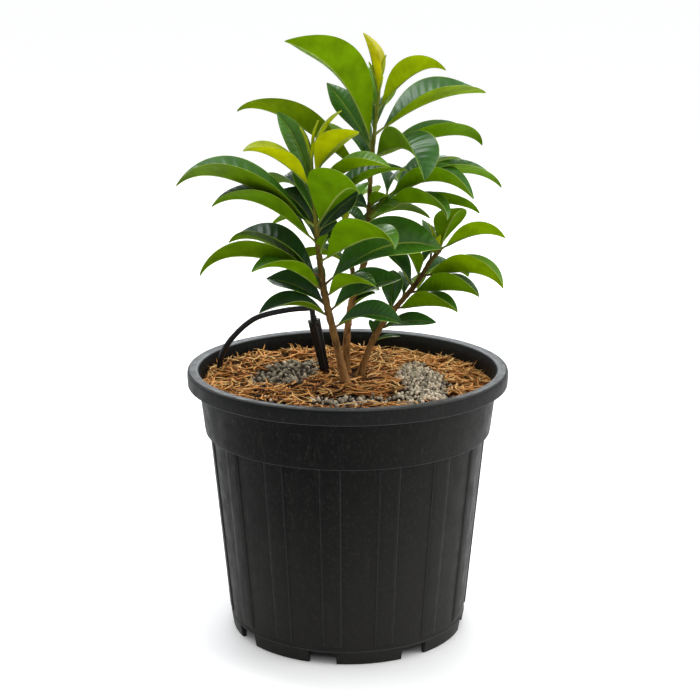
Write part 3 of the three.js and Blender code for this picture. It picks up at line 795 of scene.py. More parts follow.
# The mix as one closed piece: its lumpy top, then down the pot's wall and in over the floor
def makeBed(finish):
    inset = pot["wall"] + bed["clearance"]
    edge = potRadius(bed["edgeTop"]) - inset
    foot = potRadius(bed["floor"]) - inset - 1
    below = [edge, edge - 1, potRadius(bandFoot) - inset - 6, foot, bed["floorMiddle"]]
    radii = np.concatenate([np.linspace(1.5, edge, bed["rows"]), below])
    angle = np.linspace(0, 2 * math.pi, bed["turns"], endpoint=False)
    x = radii[:, None] * np.cos(angle)
    y = radii[:, None] * np.sin(angle)
    z = bedHeight(x, y)
    z[bed["rows"]:] = np.array([*bed["below"], bandFoot - 2, bed["floor"], bed["floor"]])[:, None]
    bundle = newBundle()
    addGrid(bundle, np.stack([x, y, z], axis=-1), wrap=True, ends=True)
    piece = buildPiece("coirBed", bundle, [finish], sharp=55)
    mesh = piece.data
    spots = np.concatenate(bundle["points"])
    onTop = np.zeros(len(spots))
    onTop[:bed["rows"] * bed["turns"]] = 1
    grit, pale = np.zeros(len(spots)), np.zeros(len(spots))
    for patch in granulePatches:
        share = patch["share"] * patchShare(spots[:, 0], spots[:, 1], patch)
        grit = np.maximum(grit, share)
        pale = np.maximum(pale, patch["pale"] * share)
    radius = np.hypot(spots[:, 0], spots[:, 1])
    # Fewer strands round the stems' feet let the dark mix show: bare soil, and painted shade among the stems.
    fromStems = np.hypot(spots[:, 0] - bed["bareAt"][0], spots[:, 1] - bed["bareAt"][1])
    bare = 1 - smoothStep(fromStems, *bed["bareReach"])
    uneven = bed["coir"] + bed["coirSpread"] * ripple(spots, bed["coirLength"], bed["coirSeed"])
    coir = onTop * (1 - smoothStep(grit, *bed["gritEdge"])) * uneven * (1 - bed["bareLoss"] * bare)
    # Painted light and shade on the coir: more pale straw strands towards the right and more dark brown ones
    # towards the left, on top of the strands' own mix.
    litToRight = smoothStep(spots[:, 0], *bed["paintedLightFrom"])
    shares = {
        "coirShare": coir,
        "strawAndLightShare": coir * (0.5 + 0.5 * litToRight),
        "brownAndShadeShare": coir * (1 - 0.75 * litToRight),
        "greyShare": onTop * grit,
        "paleShare": onTop * pale,
        "wallShare": onTop * smoothStep(radius, *bed["tuftsFrom"]),
    }
    for name, values in shares.items():
        layer = mesh.attributes.new(name, "FLOAT", "POINT")
        layer.data.foreach_set("value", np.clip(values, 0, 1).astype(np.float32))
    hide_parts("potting_mix")
    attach(piece, "root")
    return piece


# One curved husk strand lying along X: a thin three-sided ribbon drawn out to its ends
def makeStrand(name, kind):
    share = np.linspace(0, 1, strand["rings"])
    x = (share - 0.5) * kind["length"]
    y = kind["bend"] * (4 * share * (1 - share) - strand["bow"])
    y = y + strand["wriggle"] * np.sin(strand["wriggles"] * share)
    z = strand["rise"] * abs(kind["bend"]) * np.sin(2 * math.pi * share + strand["twist"])
    girth = kind["girth"] * np.interp(share, strand["girthAt"], strand["girth"])
    corners = np.array(strand["corners"])
    rows = []
    for k in range(len(share)):
        across = y[k] + strand["wide"] * girth[k] * np.cos(corners)
        height = z[k] + strand["flat"] * girth[k] * np.sin(corners)
        rows.append(np.stack([np.full(len(corners), x[k]), across, height], axis=-1))
    bundle = newBundle()
    addTube(bundle, np.array(rows))
    return buildPiece(name, bundle, [], mapped=False)


# One rounded pebble: a few rings pushed out to a lumpy ball
def makePebble(name, seed):
    turns = np.linspace(0, 2 * math.pi, granule["sides"], endpoint=False)
    rows = []
    for lift in granule["rings"]:
        girth = math.sqrt(1 - lift * lift)
        level = np.full(len(turns), lift)
        rows.append(np.stack([girth * np.cos(turns), girth * np.sin(turns), level], axis=-1))
    grid = np.array(rows)
    lumps = 1 + granule["lumps"] * ripple(grid, granule["lumpLength"], seed)[..., None]
    grid *= granule["radius"] * lumps * np.array(granule["axes"])
    bundle = newBundle()
    addTube(bundle, grid)
    return buildPiece(name, bundle, [], mapped=False)


# Strands that would pass through the pot's wall are pressed against it
def keepInside(piece, clearance=0.4):
    points = np.empty(len(piece.data.vertices) * 3, dtype=np.float32)
    piece.data.vertices.foreach_get("co", points)
    points = points.reshape(-1, 3)
    inset = pot["wall"] + clearance
    inner = [pot["bandFootRadius"] - inset, pot["bandTopRadius"] - inset]
    wall = np.interp(points[:, 2] / mm, [bandFoot, skirtFoot], inner) * mm
    radius = np.hypot(points[:, 0], points[:, 1])
    points[:, :2] *= np.minimum(1, wall / np.maximum(radius, 1e-9))[:, None]
    piece.data.vertices.foreach_set("co", points.ravel())
    piece.data.update()


# Strews copies of a shape over the bed; lay holds their density, lift, and least and most size
def strewOnBed(carrier, name, shape, tree, finish, lay, **values):
    values.update({"Shape": shape, "Finish": finish, "Least": lay["least"], "Most": lay["most"]})
    values.update({"Density": float(lay["density"]), "Lift": lay["lift"] * mm})
    piece = growPiece(name, carrier, tree, values)
    dropShape(shape)
    keepInside(piece)
    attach(piece, "root")
    print(" ", name, len(piece.data.polygons), "faces")


def dressBed(carrier):
    wallTree = strewTree("wallShare")
    for k, (name, kind) in enumerate(strandKinds.items()):
        finish = plainFinish(name, kind["colour"], rough=0.9, shine=0.2, size=6, depth=0.2)
        strewOnBed(carrier, name, makeStrand(name + "Shape", kind), strewTree(kind["share"]), finish,
                   {**strand, **kind}, Spacing=0.0, Seed=k + strand["seed"], Lean=math.radians(kind["lean"]))
        if name in tufts["kinds"]:
            strewOnBed(carrier, name + "Tufts", makeStrand(name + "Tuft", kind), wallTree, finish,
                       tufts, Spacing=0.0, Seed=k + tufts["seed"], Lean=math.radians(tufts["lean"]))
    for k, (name, colour) in enumerate(granule["colours"].items()):
        title = "granules" + name.capitalize()
        finish = plainFinish(title, colour, rough=0.9, shine=0.25, size=2.5, depth=0.2)
        strewOnBed(carrier, title, makePebble(title + "Shape", k + 2), strewTree(name + "Share"), finish,
                   granule, Spacing=granule["spacing"] * mm, Seed=k + granule["seed"], Lean=granule["lean"])


carrierBed = makeBed(plainFinish("darkMix", (0.028, 0.015, 0.008), rough=0.95, shine=0.15, size=5, depth=0.8))
dressBed(carrierBed)
print("coir bed dressed")


# Routes and tubes

# Points on a smooth route through the given ones; even steps for shoots, spread by distance for the drip tube
def routeAt(points, shares, byDistance=False):
    knots = np.array(points, dtype=float)
    knots = np.vstack([2 * knots[0] - knots[1], knots, 2 * knots[-1] - knots[-2]])
    spans = len(points) - 1
    place = np.clip(np.asarray(shares, dtype=float) * spans, 0, spans)
    first = np.minimum(place.astype(int), spans - 1)
    step = (place - first)[..., None]
    a, b, c, d = (knots[first + k] for k in range(4))
    if byDistance:
        gaps = [np.sqrt(np.linalg.norm(q - p, axis=-1, keepdims=True)) for p, q in ((a, b), (b, c), (c, d))]
        leave = ((b - a) / gaps[0] - (c - a) / (gaps[0] + gaps[1]) + (c - b) / gaps[1]) * gaps[1]
        arrive = ((c - b) / gaps[1] - (d - b) / (gaps[1] + gaps[2]) + (d - c) / gaps[2]) * gaps[1]
    else:
        leave, arrive = 0.5 * (c - a), 0.5 * (d - b)
    bend = 3 * (c - b) - 2 * leave - arrive
    ease = 2 * (b - c) + leave + arrive
    return b + leave * step + bend * step ** 2 + ease * step ** 3


# Rings of points round a path, with a radius for each ring or each point
def tubeRings(path, radius, sides, start=(0, 1, 0)):
    ahead = unit(np.gradient(path, axis=0))
    side = np.empty_like(path)
    lean = np.array(start, dtype=float)
    for k in range(len(path)):
        lean = unit(lean - ahead[k] * (lean @ ahead[k]))
        side[k] = lean
    across = np.cross(ahead, side)
    turns = np.linspace(0, 2 * math.pi, sides, endpoint=False)
    out = side[:, None] * np.cos(turns)[None, :, None] + across[:, None] * np.sin(turns)[None, :, None]
    girth = np.asarray(radius, dtype=float)
    girth = girth[:, None] if girth.ndim == 1 else girth
    return path[:, None] + out * np.broadcast_to(girth, (len(path), sides))[..., None]


# Drip fitting

tube = {
    "radius": 2.5, "bend": 4, "clearance": 0.3, "sides": 16, "steps": 150,
    "route": [(-116.5, 30, 220.4), (-112.5, 31, 241), (-101, 32, 257.5), (-85, 31, 271.5), (-74, 29, 276.5),
              (-61, 25, 280.5), (-48, 21, 283.5), (-38, 17.5, 285)],
}
spike = {
    "top": (-30, 15, 275.5), "foot": (-19.6, 19, 224), "headRadius": 5.6, "tipRadius": 3.9, "buried": 4,
    "fins": 4, "finDepth": 0.62, "sides": 48, "steps": 24,
    "collar": (-5.0, -4.6, -0.6, 0), "collarGirth": (0.8, 0.86, 0.86, 0.8), "collarSides": 32,
    "neckHeight": 6, "neck": (-1, 2, 2.2, 2.8, 3.0, 6), "neckRadius": 2.2, "neckSides": 24,
    "neckSwell": (0.5, 0.5, 0.9, 0.9, 0.3, 0.1),
}


def makeDripFitting(finish):
    top, foot = np.array(spike["top"]), np.array(spike["foot"])
    axis = unit(top - foot)
    neckTop = top + axis * spike["neckHeight"]
    gap = tube["clearance"]
    route = tube["route"] + [neckTop + axis * (gap + tube["bend"]), neckTop + axis * (gap - 2)]
    path = routeAt(route, np.linspace(0, 1, tube["steps"]), byDistance=True)
    bundle = newBundle()
    addTube(bundle, tubeRings(path, tube["radius"], tube["sides"]))
    hose = buildPiece("dripTube", bundle, [finish])
    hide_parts("drip_tube")

    bundle = newBundle()
    steps = np.linspace(0, 1, spike["steps"])
    turns = np.linspace(0, 2 * math.pi, spike["sides"], endpoint=False)
    fin = np.clip(0.5 + 0.75 * np.cos(spike["fins"] * turns), 0, 1)     # flat fins with grooves between
    girth = np.interp(steps, [0, 1], [spike["tipRadius"], spike["headRadius"]])
    radius = girth[:, None] * (spike["finDepth"] + (1 - spike["finDepth"]) * fin[None, :])
    sunk = axis * spike["buried"]
    path = foot - sunk + (top - foot + sunk) * steps[:, None]
    collarRadius = np.array(spike["collarGirth"]) * spike["headRadius"]
    neckRadius = spike["neckRadius"] + np.array(spike["neckSwell"])
    for line, girths, sides in [
            (path, radius, spike["sides"]),
            (top + axis * np.array(spike["collar"])[:, None], collarRadius, spike["collarSides"]),
            (top + axis * np.array(spike["neck"])[:, None], neckRadius, spike["neckSides"])]:
        addTube(bundle, tubeRings(line, girths, sides, start=(1, 0, 0)))
    stake = buildPiece("dripSpike", bundle, [finish], sharp=50)
    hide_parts("drip_spike")
    for piece in (hose, stake):
        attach(piece, "root")


makeDripFitting(tubePlastic())
print("drip fitting made")


# Shoots and leaves

# Each shoot is a smooth route from the bed to its bud, with foliage from leafFrom up. A leaf row gives the
# height of its foot, heading (0 is +X, 90 the back), reach, rise of the tip over the foot, arch, width, fold,
# roll, hook (how far out the arch stands) and tone. The rows under fine are small leaves on the bare stretch
# and in the gaps.
shoots = {
    "left": {
        "route": [(-0.5, -22, 222), (-11.4, -27, 271), (-20.2, -29, 311), (-25.6, -30, 356),
                  (-29.5, -31, 412), (-31, -31, 428)],
        "footRadius": 3.6, "tipRadius": 0.9, "leafFrom": 268,
        "leaves": [
            (277, 345, 60.5, 9, 14.5, 1.25, 35, 28, 0.45, "dark"),
            (292, 15, 64.5, 26, 23, 1.5, 35, 24, 0.4, "dark"),
            (305, 322, 54, 17, 18.5, 1.5, 40, -8, 0.5, "mid"),
            (315, 5, 101, 30.5, 36.5, 1.5, 27, 30, 0.55, "mid"),
            (336, 325, 76.5, 19.5, 28, 1.85, 40, -14, 0.88, "fresh"),
            (366, 312, 54.5, 34.5, 39, 2.55, 37, -22, 0.75, "fresh"),
            (377, 12, 79.5, 35, 36, 1.0, 40, 4, 0.6, "dark"),
            (394, 345, 66, 25.5, 27, 1.45, 40, 3, 0.5, "light"),
            (408, 325, 47, 42, 31.5, 1.6, 30, -20, 0.42, "young"),
            (392, 146, 38, 69, 45, 0.78, 25, -40, 0.3, "fresh"),
            (398, 200, 61, 35.5, 35.8, 1.45, 42, -5, 0.6, "young"),
            (366, 180, 117.5, 35.5, 44.5, 1.38, 36, 0, 0.72, "dusk"),
            (351.5, 178, 89.5, 32, 38.5, 1.3, 42, 0, 0.61, "deep"),
            (323, 190, 104, 5, 20.8, 1.1, 42, 10, 0.78, "dusk"),
            (311, 165, 85, 38, 42.4, 1.45, 40, -1, 0.6, "deep"),
            (309, 205, 66.5, 24, 27.5, 1.3, 42, -4, 0.52, "fresh"),
            (296, 160, 56.5, 21.5, 20.5, 1.3, 30, -30, 0.36, "deep"),
            (287, 195, 62, 8, 14, 1.2, 40, -14, 0.42, "deep"),
            (341, 95, 62, 10, 22, 1.2, 40, 0, 0.4, "dark"),
            (372, 128, 72, 18, 28, 1.2, 40, 0, 0.36, "deep"),
            (302, 115, 56, 8, 18, 1.1, 40, 0, 0.4, "dark"),
            (372, 150, 24, 46, 32, 1.0, 25, -35, 0.3, "mid"),
            (360, 20, 37, 33, 19, 1.5, 20, 32, 0.36, "deep"),
            (362, 150, 36, 33, 24, 1.9, 20, -30, 0.36, "deep"),
        ],
        "fine": [
            (424, 10, 26, 40, 28, 0.5, 45, 0, 0.36, "young"),
            (352, 30, 22, 15, 10, 2.0, 20, 40, 0.4, "deep"),
            (341, 325, 9, 20, 12, 1.5, 35, -20, 0.36, "fresh"),
        ],
    },
    "middle": {
        "route": [(-2, 22, 222), (-0.5, 20, 260), (4, 17, 292), (16, 13, 334), (18.5, 12, 368), (20, 10, 409),
                  (24.5, 9, 456), (27, 9, 478)],
        "footRadius": 3.5, "tipRadius": 1.2, "leafFrom": 394,
        "leaves": [
            (473, 162, 13.5, 52, 30, 1.3, 60, 0, 0.3, "gold"),
            (426, 205, 81, 94.5, 76.5, 1.2, 45, 30, 0.25, "spring"),
            (460, 340, 61, 36, 37.9, 1.28, 45, -25, 0.6, "lime"),
            (439, 20, 104, 33, 33.5, 1.45, 38, 4, 0.5, "olive"),
            (418, 20, 104, 8, 18.5, 1.15, 44, -2, 0.8, "mid"),
            (419, 311, 66, -12, 13, 1.85, 45, -10, 0.82, "dark"),
            (424, 145, 48, 57, 32, 1.05, 20, -25, 0.4, "mid"),
            (400, 180, 114, 59.5, 62.5, 1.0, 40, 18, 0.75, "olive"),
            (458, 110, 58, 30, 32, 1.2, 40, 0, 0.36, "light"),
            (434, 85, 84, 18, 30, 1.2, 40, 0, 0.36, "mid"),
            (406, 110, 96, 8, 26, 1.2, 40, 0, 0.4, "dark"),
        ],
        "fine": [
            (286, 350, 22, 14, 10, 1.5, 35, 20, 0.4, "dark"),
            (352, 140, 40, 22, 20, 1.2, 30, 0, 0.36, "dark"),
            (374, 188, 27, 12, 11, 2.0, 20, -45, 0.4, "deep"),
            (292, 20, 26, 8, 10, 1.6, 30, 30, 0.4, "dark"),
            (328, 15, 42, 14, 15, 1.2, 30, 15, 0.4, "deep"),
            (375, 330, 18, 13, 11, 2.2, 25, -30, 0.4, "mid"),
        ],
    },
    "side": {
        "route": [(18.5, 12, 368), (30, 12, 380), (40, 13, 389)],
        "footRadius": 2.3, "tipRadius": 1.5, "leafFrom": 377, "budless": True,
        "leaves": [
            (382, 340, 80, 6, 20, 1.42, 45, -5, 0.57, "mid"),
            (385, 10, 101, 6, 20, 1.1, 33, 0, 0.68, "mid"),
            (385, 40, 89, 23.5, 26, 1.0, 30, 0, 0.5, "dark"),
            (379, 327, 66, -8, 5, 1.55, 40, -14, 0.98, "fresh"),
            (379, 12, 89, -11, 1, 0.9, 42, -12, 0.78, "mid"),
            (383, 80, 76, 4, 16, 1.2, 40, 0, 0.4, "dark"),
        ],
        "fine": [
            (372, 320, 27, 9, 9, 2.2, 10, 38, 0.4, "light"),
        ],
    },
    "right": {
        "route": [(10, 12, 222), (20.5, 13, 253), (34.5, 16, 276), (59, 20, 305), (72, 22, 325),
                  (82, 22, 338)],
        "footRadius": 2.9, "tipRadius": 1.4, "leafFrom": 262,
        "leaves": [
            (337, 296, 37, 42.5, 31, 1.5, 20, -8, 0.36, "deep"),
            (337, 352, 57, 12, 15.5, 1.4, 44, -22, 0.6, "light"),
            (313, 340, 75, -5, 7.5, 1.65, 50, -9, 0.75, "light"),
            (299, 335, 66, 2.5, 6.5, 1.85, 50, -13, 0.78, "dark"),
            (285, 330, 61.5, 4, 7.5, 1.7, 48, -10, 0.76, "mid"),
            (266, 352, 51, 8.5, 10, 1.0, 15, 30, 0.4, "dark"),
            (303, 170, 30, 38, 24, 1.6, 30, -20, 0.36, "dark"),
            (312, 215, 22, 33, 20, 1.8, 30, 0, 0.36, "mid"),
            (281, 85, 24, 34, 24, 1.45, 30, 0, 0.36, "dark"),
            (326, 80, 66, 12, 22, 1.2, 40, 0, 0.4, "mid"),
            (307, 45, 70, -4, 10, 1.2, 40, 0, 0.45, "dark"),
            (292, 75, 62, -2, 12, 1.2, 40, 0, 0.45, "dark"),
        ],
        "fine": [
            (333, 190, 14, 10, 8, 1.6, 30, 0, 0.4, "dark"),
            (334, 205, 16, -8, 2, 1.8, 20, 0, 0.4, "dark"),
            (257, 0, 24, 4, 4, 0.7, 20, 10, 0.4, "mid"),
            (260, 120, 9, 14, 9, 1.3, 30, 0, 0.4, "dark"),
            (262, 60, 9, 13, 9, 1.8, 30, 0, 0.4, "dark"),
        ],
    },
    "back": {
        "route": [(5.5, 16.5, 296), (4, 34, 316), (0, 56, 340), (-3, 66, 356)],
        "footRadius": 2.2, "tipRadius": 1.3, "leafFrom": 296,
        "leaves": [
            (354, 60, 62, 20, 22, 1.3, 40, 0, 0.36, "light"),
            (354, 135, 64, 18, 24, 1.3, 40, 0, 0.36, "light"),
            (340, 165, 72, 10, 20, 1.2, 40, 0, 0.4, "mid"),
            (338, 24, 82, 16, 26, 0.9, 40, 0, 0.45, "deep"),
            (325, 100, 70, -10, 8, 1.2, 40, 0, 0.5, "dark"),
            (318, 150, 62, -4, 10, 1.2, 40, 0, 0.45, "dark"),
        ],
        "fine": [],
    },
}
leaf = {
    "petiole": 0.1, "halfWidth": 0.165, "tip": 0.8, "tipLoss": 0.7, "belly": 1.2, "fullness": 0.95,
    "foldAtFoot": 1.25, "foldLoss": 0.65, "foldRound": 0.12, "sweep": 0.1, "sweepBend": 1.3,
    "veins": 12, "rowsPerVein": 4, "firstVein": 0.05, "veinStep": 0.072, "footRow": 0.025, "tipRows": 5,
    "quilt": 0.0085, "quiltBelow": 0.5, "pillow": 0.6, "quiltFrom": (0.02, 0.12), "quiltTo": (0.8, 0.97),
    "quiltOut": (0.04, 0.3), "cup": 0.05, "wave": 0.007, "waves": 9, "swing": 6.3,
    "thick": 0.5, "thin": 0.3, "groove": 0.35, "grooveWidth": 0.05, "curveSteps": 201,
    "columns": (0, 0.035, 0.16, 0.33, 0.5, 0.68, 0.86, 0.98, 1),
}
petiole = {
    "girthAt": (0, 0.03, 0.07, 0.14, 0.5, 0.97), "girth": (1.55, 1.2, 1.0, 0.95, 0.6, 0.2), "sides": 8,
    "sunkAt": (0, 0.08, 0.16, 1), "sunk": (0, 0, 0.75, 0.6), "rows": (7, 22), "end": 0.97, "greenFrom": 335,
    "keelDepth": (0.45, 0.5), "bareShare": 1.2,
    "skins": [("petioleBrown", (0.17, 0.1, 0.03), 0.55), ("petioleGreen", (0.25, 0.3, 0.03), 0.5),
              ("leafKeel", (0.24, 0.34, 0.03), 0.5)],
}
limb = {
    "coarseSteps": 50, "ringStep": 0.9, "fewest": 8, "sides": 20,
    "joint": 0.16, "jointLength": 2.2, "jointBelow": 1,
    "ridge": 0.085, "ridgeLength": 2.6, "squeeze": 0.22, "grain": 0.04, "grainLength": 1.7,
    "knob": 0.08, "knobLength": 4.5, "knobFrom": (1.0, 1.7), "smoothing": 0.75,
    "belowBud": (0, 40, 65, 95, 200), "budTone": (1, 0.85, 0.7, 0.5, 0),
    "above": (226, 340, 365), "mostTone": (0, 0.5, 1),
}
buds = {
    "count": 3, "turn": 137.5, "turnSpread": 40, "below": 2, "reach": 6, "reachStep": 3, "rise": 30,
    "riseStep": 6, "riseSpread": 4, "arch": 0.6, "width": 0.5, "fold": 40, "hook": 0.4, "tone": "young",
    "seed": 7,
}
flare = {"gain": 0.5, "height": 7}
seeds = {"stem": 70, "twig": 80, "leaf": 100}
halvings = 40
cellMargin = 0.04
wholeCell = (0.02, 0.02, 0.96, 0.96)


# The same small random source that the part uses for its buds
def makeRandom(start):
    state = start

    def product(a, b):
        return (a * b) & 0xffffffff

    def draw():
        nonlocal state
        state = (state + 0x6d2b79f5) & 0xffffffff
        value = product(state ^ (state >> 15), 1 | state)
        value = ((value + product(value ^ (value >> 7), 61 | value)) & 0xffffffff) ^ value
        return (value ^ (value >> 14)) / 4294967296

    return draw


def budRows(shoot, draw):
    top = shoot["route"][-1][2]
    rows = []
    for k in range(0 if "budless" in shoot else buds["count"]):
        height = top - buds["below"] * (1 + k)
        heading = buds["turn"] * k + buds["turnSpread"] * draw()
        rise = buds["rise"] - buds["riseStep"] * k + buds["riseSpread"] * draw()
        reach = buds["reach"] + buds["reachStep"] * k
        form = (buds["width"], buds["fold"], 0, buds["hook"], buds["tone"])
        rows.append((height, heading, reach, rise, buds["arch"] * rise, *form))
    return rows


# How far along a route it reaches the given height
def shareAt(route, height):
    low, high = 0.0, 1.0
    for _ in range(halvings):
        middle = 0.5 * (low + high)
        if routeAt(route, middle)[2] < height:
            low = middle
        else:
            high = middle
    return 0.5 * (low + high)


# Half the blade's width as a share of its widest, from the petiole's end to the tip
def bladeShape(share):
    return np.maximum(np.sin(math.pi * np.clip(share, 0, 1) ** leaf["belly"]), 0) ** leaf["fullness"]


# The midrib of a leaf as a function of the share of its length, giving its middle, side and face
def midribOf(foot, row):
    heading, reach, rise, arch, roll, hook = (row[k] for k in (1, 2, 3, 4, 7, 8))
    ahead = np.array([math.cos(math.radians(heading)), math.sin(math.radians(heading)), 0])
    up = np.array([0.0, 0.0, 1.0])
    left = np.cross(up, ahead)
    crest = arch + math.sqrt(max(0, arch * (arch - rise))) if arch >= rise else arch
    over = foot + ahead * hook * reach + up * crest
    tip = foot + ahead * reach + up * rise

    def curve(step):
        return (1 - step) ** 2 * foot + 2 * step * (1 - step) * over + step ** 2 * tip

    steps = np.linspace(0, 1, leaf["curveSteps"])
    gaps = np.linalg.norm(np.diff(curve(steps[:, None]), axis=0), axis=1)
    run = np.concatenate([[0], np.cumsum(gaps)])

    def midrib(share):
        step = np.interp(share, run / run[-1], steps)[..., None]
        along = unit((1 - step) * (over - foot) + step * (tip - over))
        turn = math.radians(roll)
        face = np.cross(along, left)
        side = left * math.cos(turn) + face * math.sin(turn)
        return curve(step), side, face * math.cos(turn) - left * math.sin(turn)

    return midrib, run[-1]


# A blade: quilted between its side veins, folded on the midrib, closed round its thin edge
def addLeaf(bundle, midrib, length, row, slots, cell, draw):
    width, fold = row[5], row[6]
    tone = leafTones[row[9]]
    last = leaf["firstVein"] + leaf["veins"] * leaf["veinStep"]
    veinRows = np.linspace(leaf["firstVein"], last, leaf["veins"] * leaf["rowsPerVein"] + 1)
    tipRows = np.linspace(last, 1, leaf["tipRows"])[1:]
    shares = np.concatenate([[0, leaf["footRow"]], veinRows, tipRows])[:, None]
    half = np.array(leaf["columns"])
    columns = np.concatenate([-half[:0:-1], half])[None, :]
    out = np.abs(columns)
    blade = shares + leaf["sweep"] * out ** leaf["sweepBend"] * 4 * shares * (1 - shares)
    share = leaf["petiole"] + (1 - leaf["petiole"]) * blade
    middle, side, face = midrib(share)
    widest = leaf["halfWidth"] * length * width
    reach = leaf["tip"] * (1 - leaf["tipLoss"] * shares) + widest * bladeShape(blade)
    lean = math.radians(fold) * (leaf["foldAtFoot"] - leaf["foldLoss"] * share)
    spot = middle + side * (columns * reach * np.cos(lean))[..., None]
    spot = spot + face * (out * reach * np.sin(lean) + leaf["cup"] * reach * out * (1 - out))[..., None]
    turn = lean * smoothStep(out, 0, leaf["foldRound"])
    normal = face * np.cos(turn)[..., None] - side * (np.sign(columns) * np.sin(turn))[..., None]
    phase = (shares - leaf["firstVein"]) / leaf["veinStep"]
    pillow = np.abs(np.sin(math.pi * phase)) ** leaf["pillow"]
    pillow = pillow * smoothStep(shares, *leaf["quiltFrom"]) * (1 - smoothStep(shares, *leaf["quiltTo"]))
    quilt = leaf["quilt"] * tone["quilt"] * length
    relief = quilt * pillow * smoothStep(out, *leaf["quiltOut"]) * (1 - out ** 3)
    swing = np.where(columns < 0, draw.uniform(0, leaf["swing"]), draw.uniform(0, leaf["swing"]))
    wave = leaf["wave"] * length * out ** 2 * np.sin(leaf["waves"] * shares + swing)
    wave = wave * shares * (1 - shares) * 4
    groove = leaf["groove"] * np.exp(-(out / leaf["grooveWidth"]) ** 2)
    thick = leaf["thick"] + (leaf["thin"] - leaf["thick"]) * out
    upper = spot + normal * (relief + wave - groove)[..., None]
    lower = spot + normal * (leaf["quiltBelow"] * relief + wave - thick - groove)[..., None]
    grid = np.concatenate([upper, lower[:, ::-1]], axis=1)
    top, under, vein = slots
    spans = columns.shape[1] - 1
    upperSlots = np.full(spans, top)
    upperSlots[[0, -1]] = vein
    upperSlots[spans // 2 - 1:spans // 2 + 1] = vein
    lowerSlots = np.full(spans, under)
    lowerSlots[spans // 2 - 1:spans // 2 + 1] = vein
    faceSlots = np.concatenate([upperSlots, [vein], lowerSlots, [vein]])
    addGrid(bundle, grid, slots=faceSlots, cell=cell, wrap=True, ends=True)


# The petiole runs on under the blade as its keel
def addPetiole(bundle, midrib, slots, cell):
    rows, keelRows = petiole["rows"]
    keel = np.linspace(leaf["petiole"], petiole["end"], keelRows)[1:]
    share = np.concatenate([np.linspace(0, leaf["petiole"], rows), keel])
    middle, side, face = midrib(share)
    girth = np.interp(share, petiole["girthAt"], petiole["girth"])
    sunk = np.interp(share, petiole["sunkAt"], petiole["sunk"])
    least, byGirth = petiole["keelDepth"]
    path = middle - face * (sunk * (least + byGirth * girth))[:, None]
    bare = share[:-1] < petiole["bareShare"] * leaf["petiole"]
    faceSlots = np.where(bare, slots[0], slots[1])[:, None]
    addTube(bundle, tubeRings(path, girth, petiole["sides"], start=face[0]), slots=faceSlots, cell=cell)


def limbRadius(shoot, share, height, flared):
    plain = np.interp(share, [0, 1], [shoot["footRadius"], shoot["tipRadius"]])
    return plain * (1 + flare["gain"] * np.exp(-(height - bed["top"]) / flare["height"])) if flared else plain


# A limb with ridged bark, swollen joints where leaves stand, and a tone from brown at the foot to green at
# the bud
def addLimb(bundle, shoot, low, high, cell, seed, flared=False):
    route = shoot["route"]
    coarse = routeAt(route, np.linspace(low, high, limb["coarseSteps"]))
    length = np.linalg.norm(np.diff(coarse, axis=0), axis=1).sum()
    shares = np.linspace(low, high, max(limb["fewest"], int(length / limb["ringStep"])))
    path = routeAt(route, shares)
    height = path[:, 2]
    radius = limbRadius(shoot, shares, height, flared)
    for row in shoot["leaves"] + shoot["fine"]:
        offset = (height - row[0] + limb["jointBelow"]) / limb["jointLength"]
        radius = radius * (1 + limb["joint"] * np.exp(-offset ** 2))
    plain = tubeRings(path, radius, limb["sides"])
    squeezed = plain * np.array([1, 1, limb["squeeze"]])
    tone = np.interp(route[-1][2] - height, limb["belowBud"], limb["budTone"])
    tone = np.minimum(tone, np.interp(height, limb["above"], limb["mostTone"]))
    ridge = limb["ridge"] * ripple(squeezed, limb["ridgeLength"], seed)
    ridge = ridge + limb["grain"] * ripple(plain, limb["grainLength"], seed + 1)
    knobs = limb["knob"] * smoothStep(ripple(plain, limb["knobLength"], seed + 2), *limb["knobFrom"])
    rough = (ridge + knobs) * (1 - limb["smoothing"] * tone[:, None])
    rings = tubeRings(path, radius[:, None] * (1 + rough), limb["sides"])
    addTube(bundle, rings, cell=cell, tones=tone[:, None])


# The k-th of count square cells of a piece's own map
def cellOf(k, count):
    side = math.ceil(math.sqrt(count))
    span = (1 - 2 * cellMargin) / side
    return ((k % side + cellMargin) / side, (k // side + cellMargin) / side, span, span)


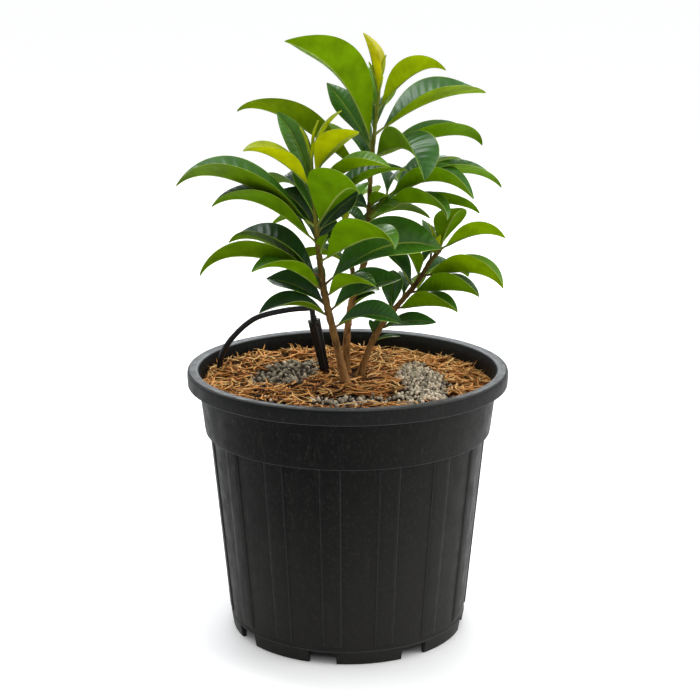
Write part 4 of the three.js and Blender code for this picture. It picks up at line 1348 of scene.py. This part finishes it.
def makeStems(finish):
    bundle = newBundle()
    bare = ["left", "middle", "right", "side"]
    for k, name in enumerate(bare):
        shoot = shoots[name]
        end = shareAt(shoot["route"], shoot["leafFrom"])
        addLimb(bundle, shoot, 0, end, cellOf(k, len(bare)), seeds["stem"] + k, flared=name != "side")
    piece = buildPiece("stems", bundle, [finish])
    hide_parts("stem_left", "stem_middle", "stem_right", "bough_side")
    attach(piece, "root")


def makeFoliage(barkSkin, leafSkins, petioleSkins):
    draw = makeRandom(buds["seed"])
    toneNames = list(leafTones)
    for k, (name, shoot) in enumerate(shoots.items()):
        variety = np.random.default_rng(seeds["leaf"] + k)
        rows = shoot["leaves"] + budRows(shoot, draw) + shoot["fine"]
        blades, petioles, twig = newBundle(), newBundle(), newBundle()
        for n, row in enumerate(rows):
            foot = routeAt(shoot["route"], shareAt(shoot["route"], row[0]))
            midrib, length = midribOf(foot, row)
            tone = toneNames.index(row[9])
            leafSlots = (2 * tone, 2 * tone + 1, 2 * len(leafTones))
            cell = cellOf(n, len(rows))
            addLeaf(blades, midrib, length, row, leafSlots, cell, variety)
            addPetiole(petioles, midrib, (0 if row[0] < petiole["greenFrom"] else 1, 2), cell)
        start = shareAt(shoot["route"], shoot["leafFrom"])
        addLimb(twig, shoot, start, 1, wholeCell, seeds["twig"] + k)
        title = name.capitalize()
        leaves = buildPiece("leaves" + title, blades, leafSkins, sharp=80)
        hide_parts("foliage_" + name)
        stalks = buildPiece("petioles" + title, petioles, petioleSkins)
        wood = buildPiece("twig" + title, twig, [barkSkin])
        for piece, slot in ((leaves, "leaf"), (stalks, "leaf"), (wood, "bark")):
            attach(piece, "root")
        print(" ", name, len(rows), "leaves,", len(leaves.data.polygons), "faces")


barkSkin = barkFinish()
leafSkins = []
for toneName, tones in leafTones.items():
    underRough = tones["rough"] + leafLook["underRough"]
    leafSkins.append(leafFinish(toneName + "LeafTop", tones["top"], tones["rough"], leafLook["topShine"]))
    leafSkins.append(leafFinish(toneName + "LeafUnder", tones["under"], underRough, leafLook["underShine"]))
leafSkins.append(leafFinish("leafVein", leafLook["vein"], rough=0.45, shine=0.3))
petioleSkins = []
for skinName, colour, skinRough in petiole["skins"]:
    petioleSkins.append(plainFinish(skinName, colour, skinRough, shine=0.4, size=6, depth=0.15))
makeStems(barkSkin)
makeFoliage(barkSkin, leafSkins, petioleSkins)
print("stems and foliage grown")
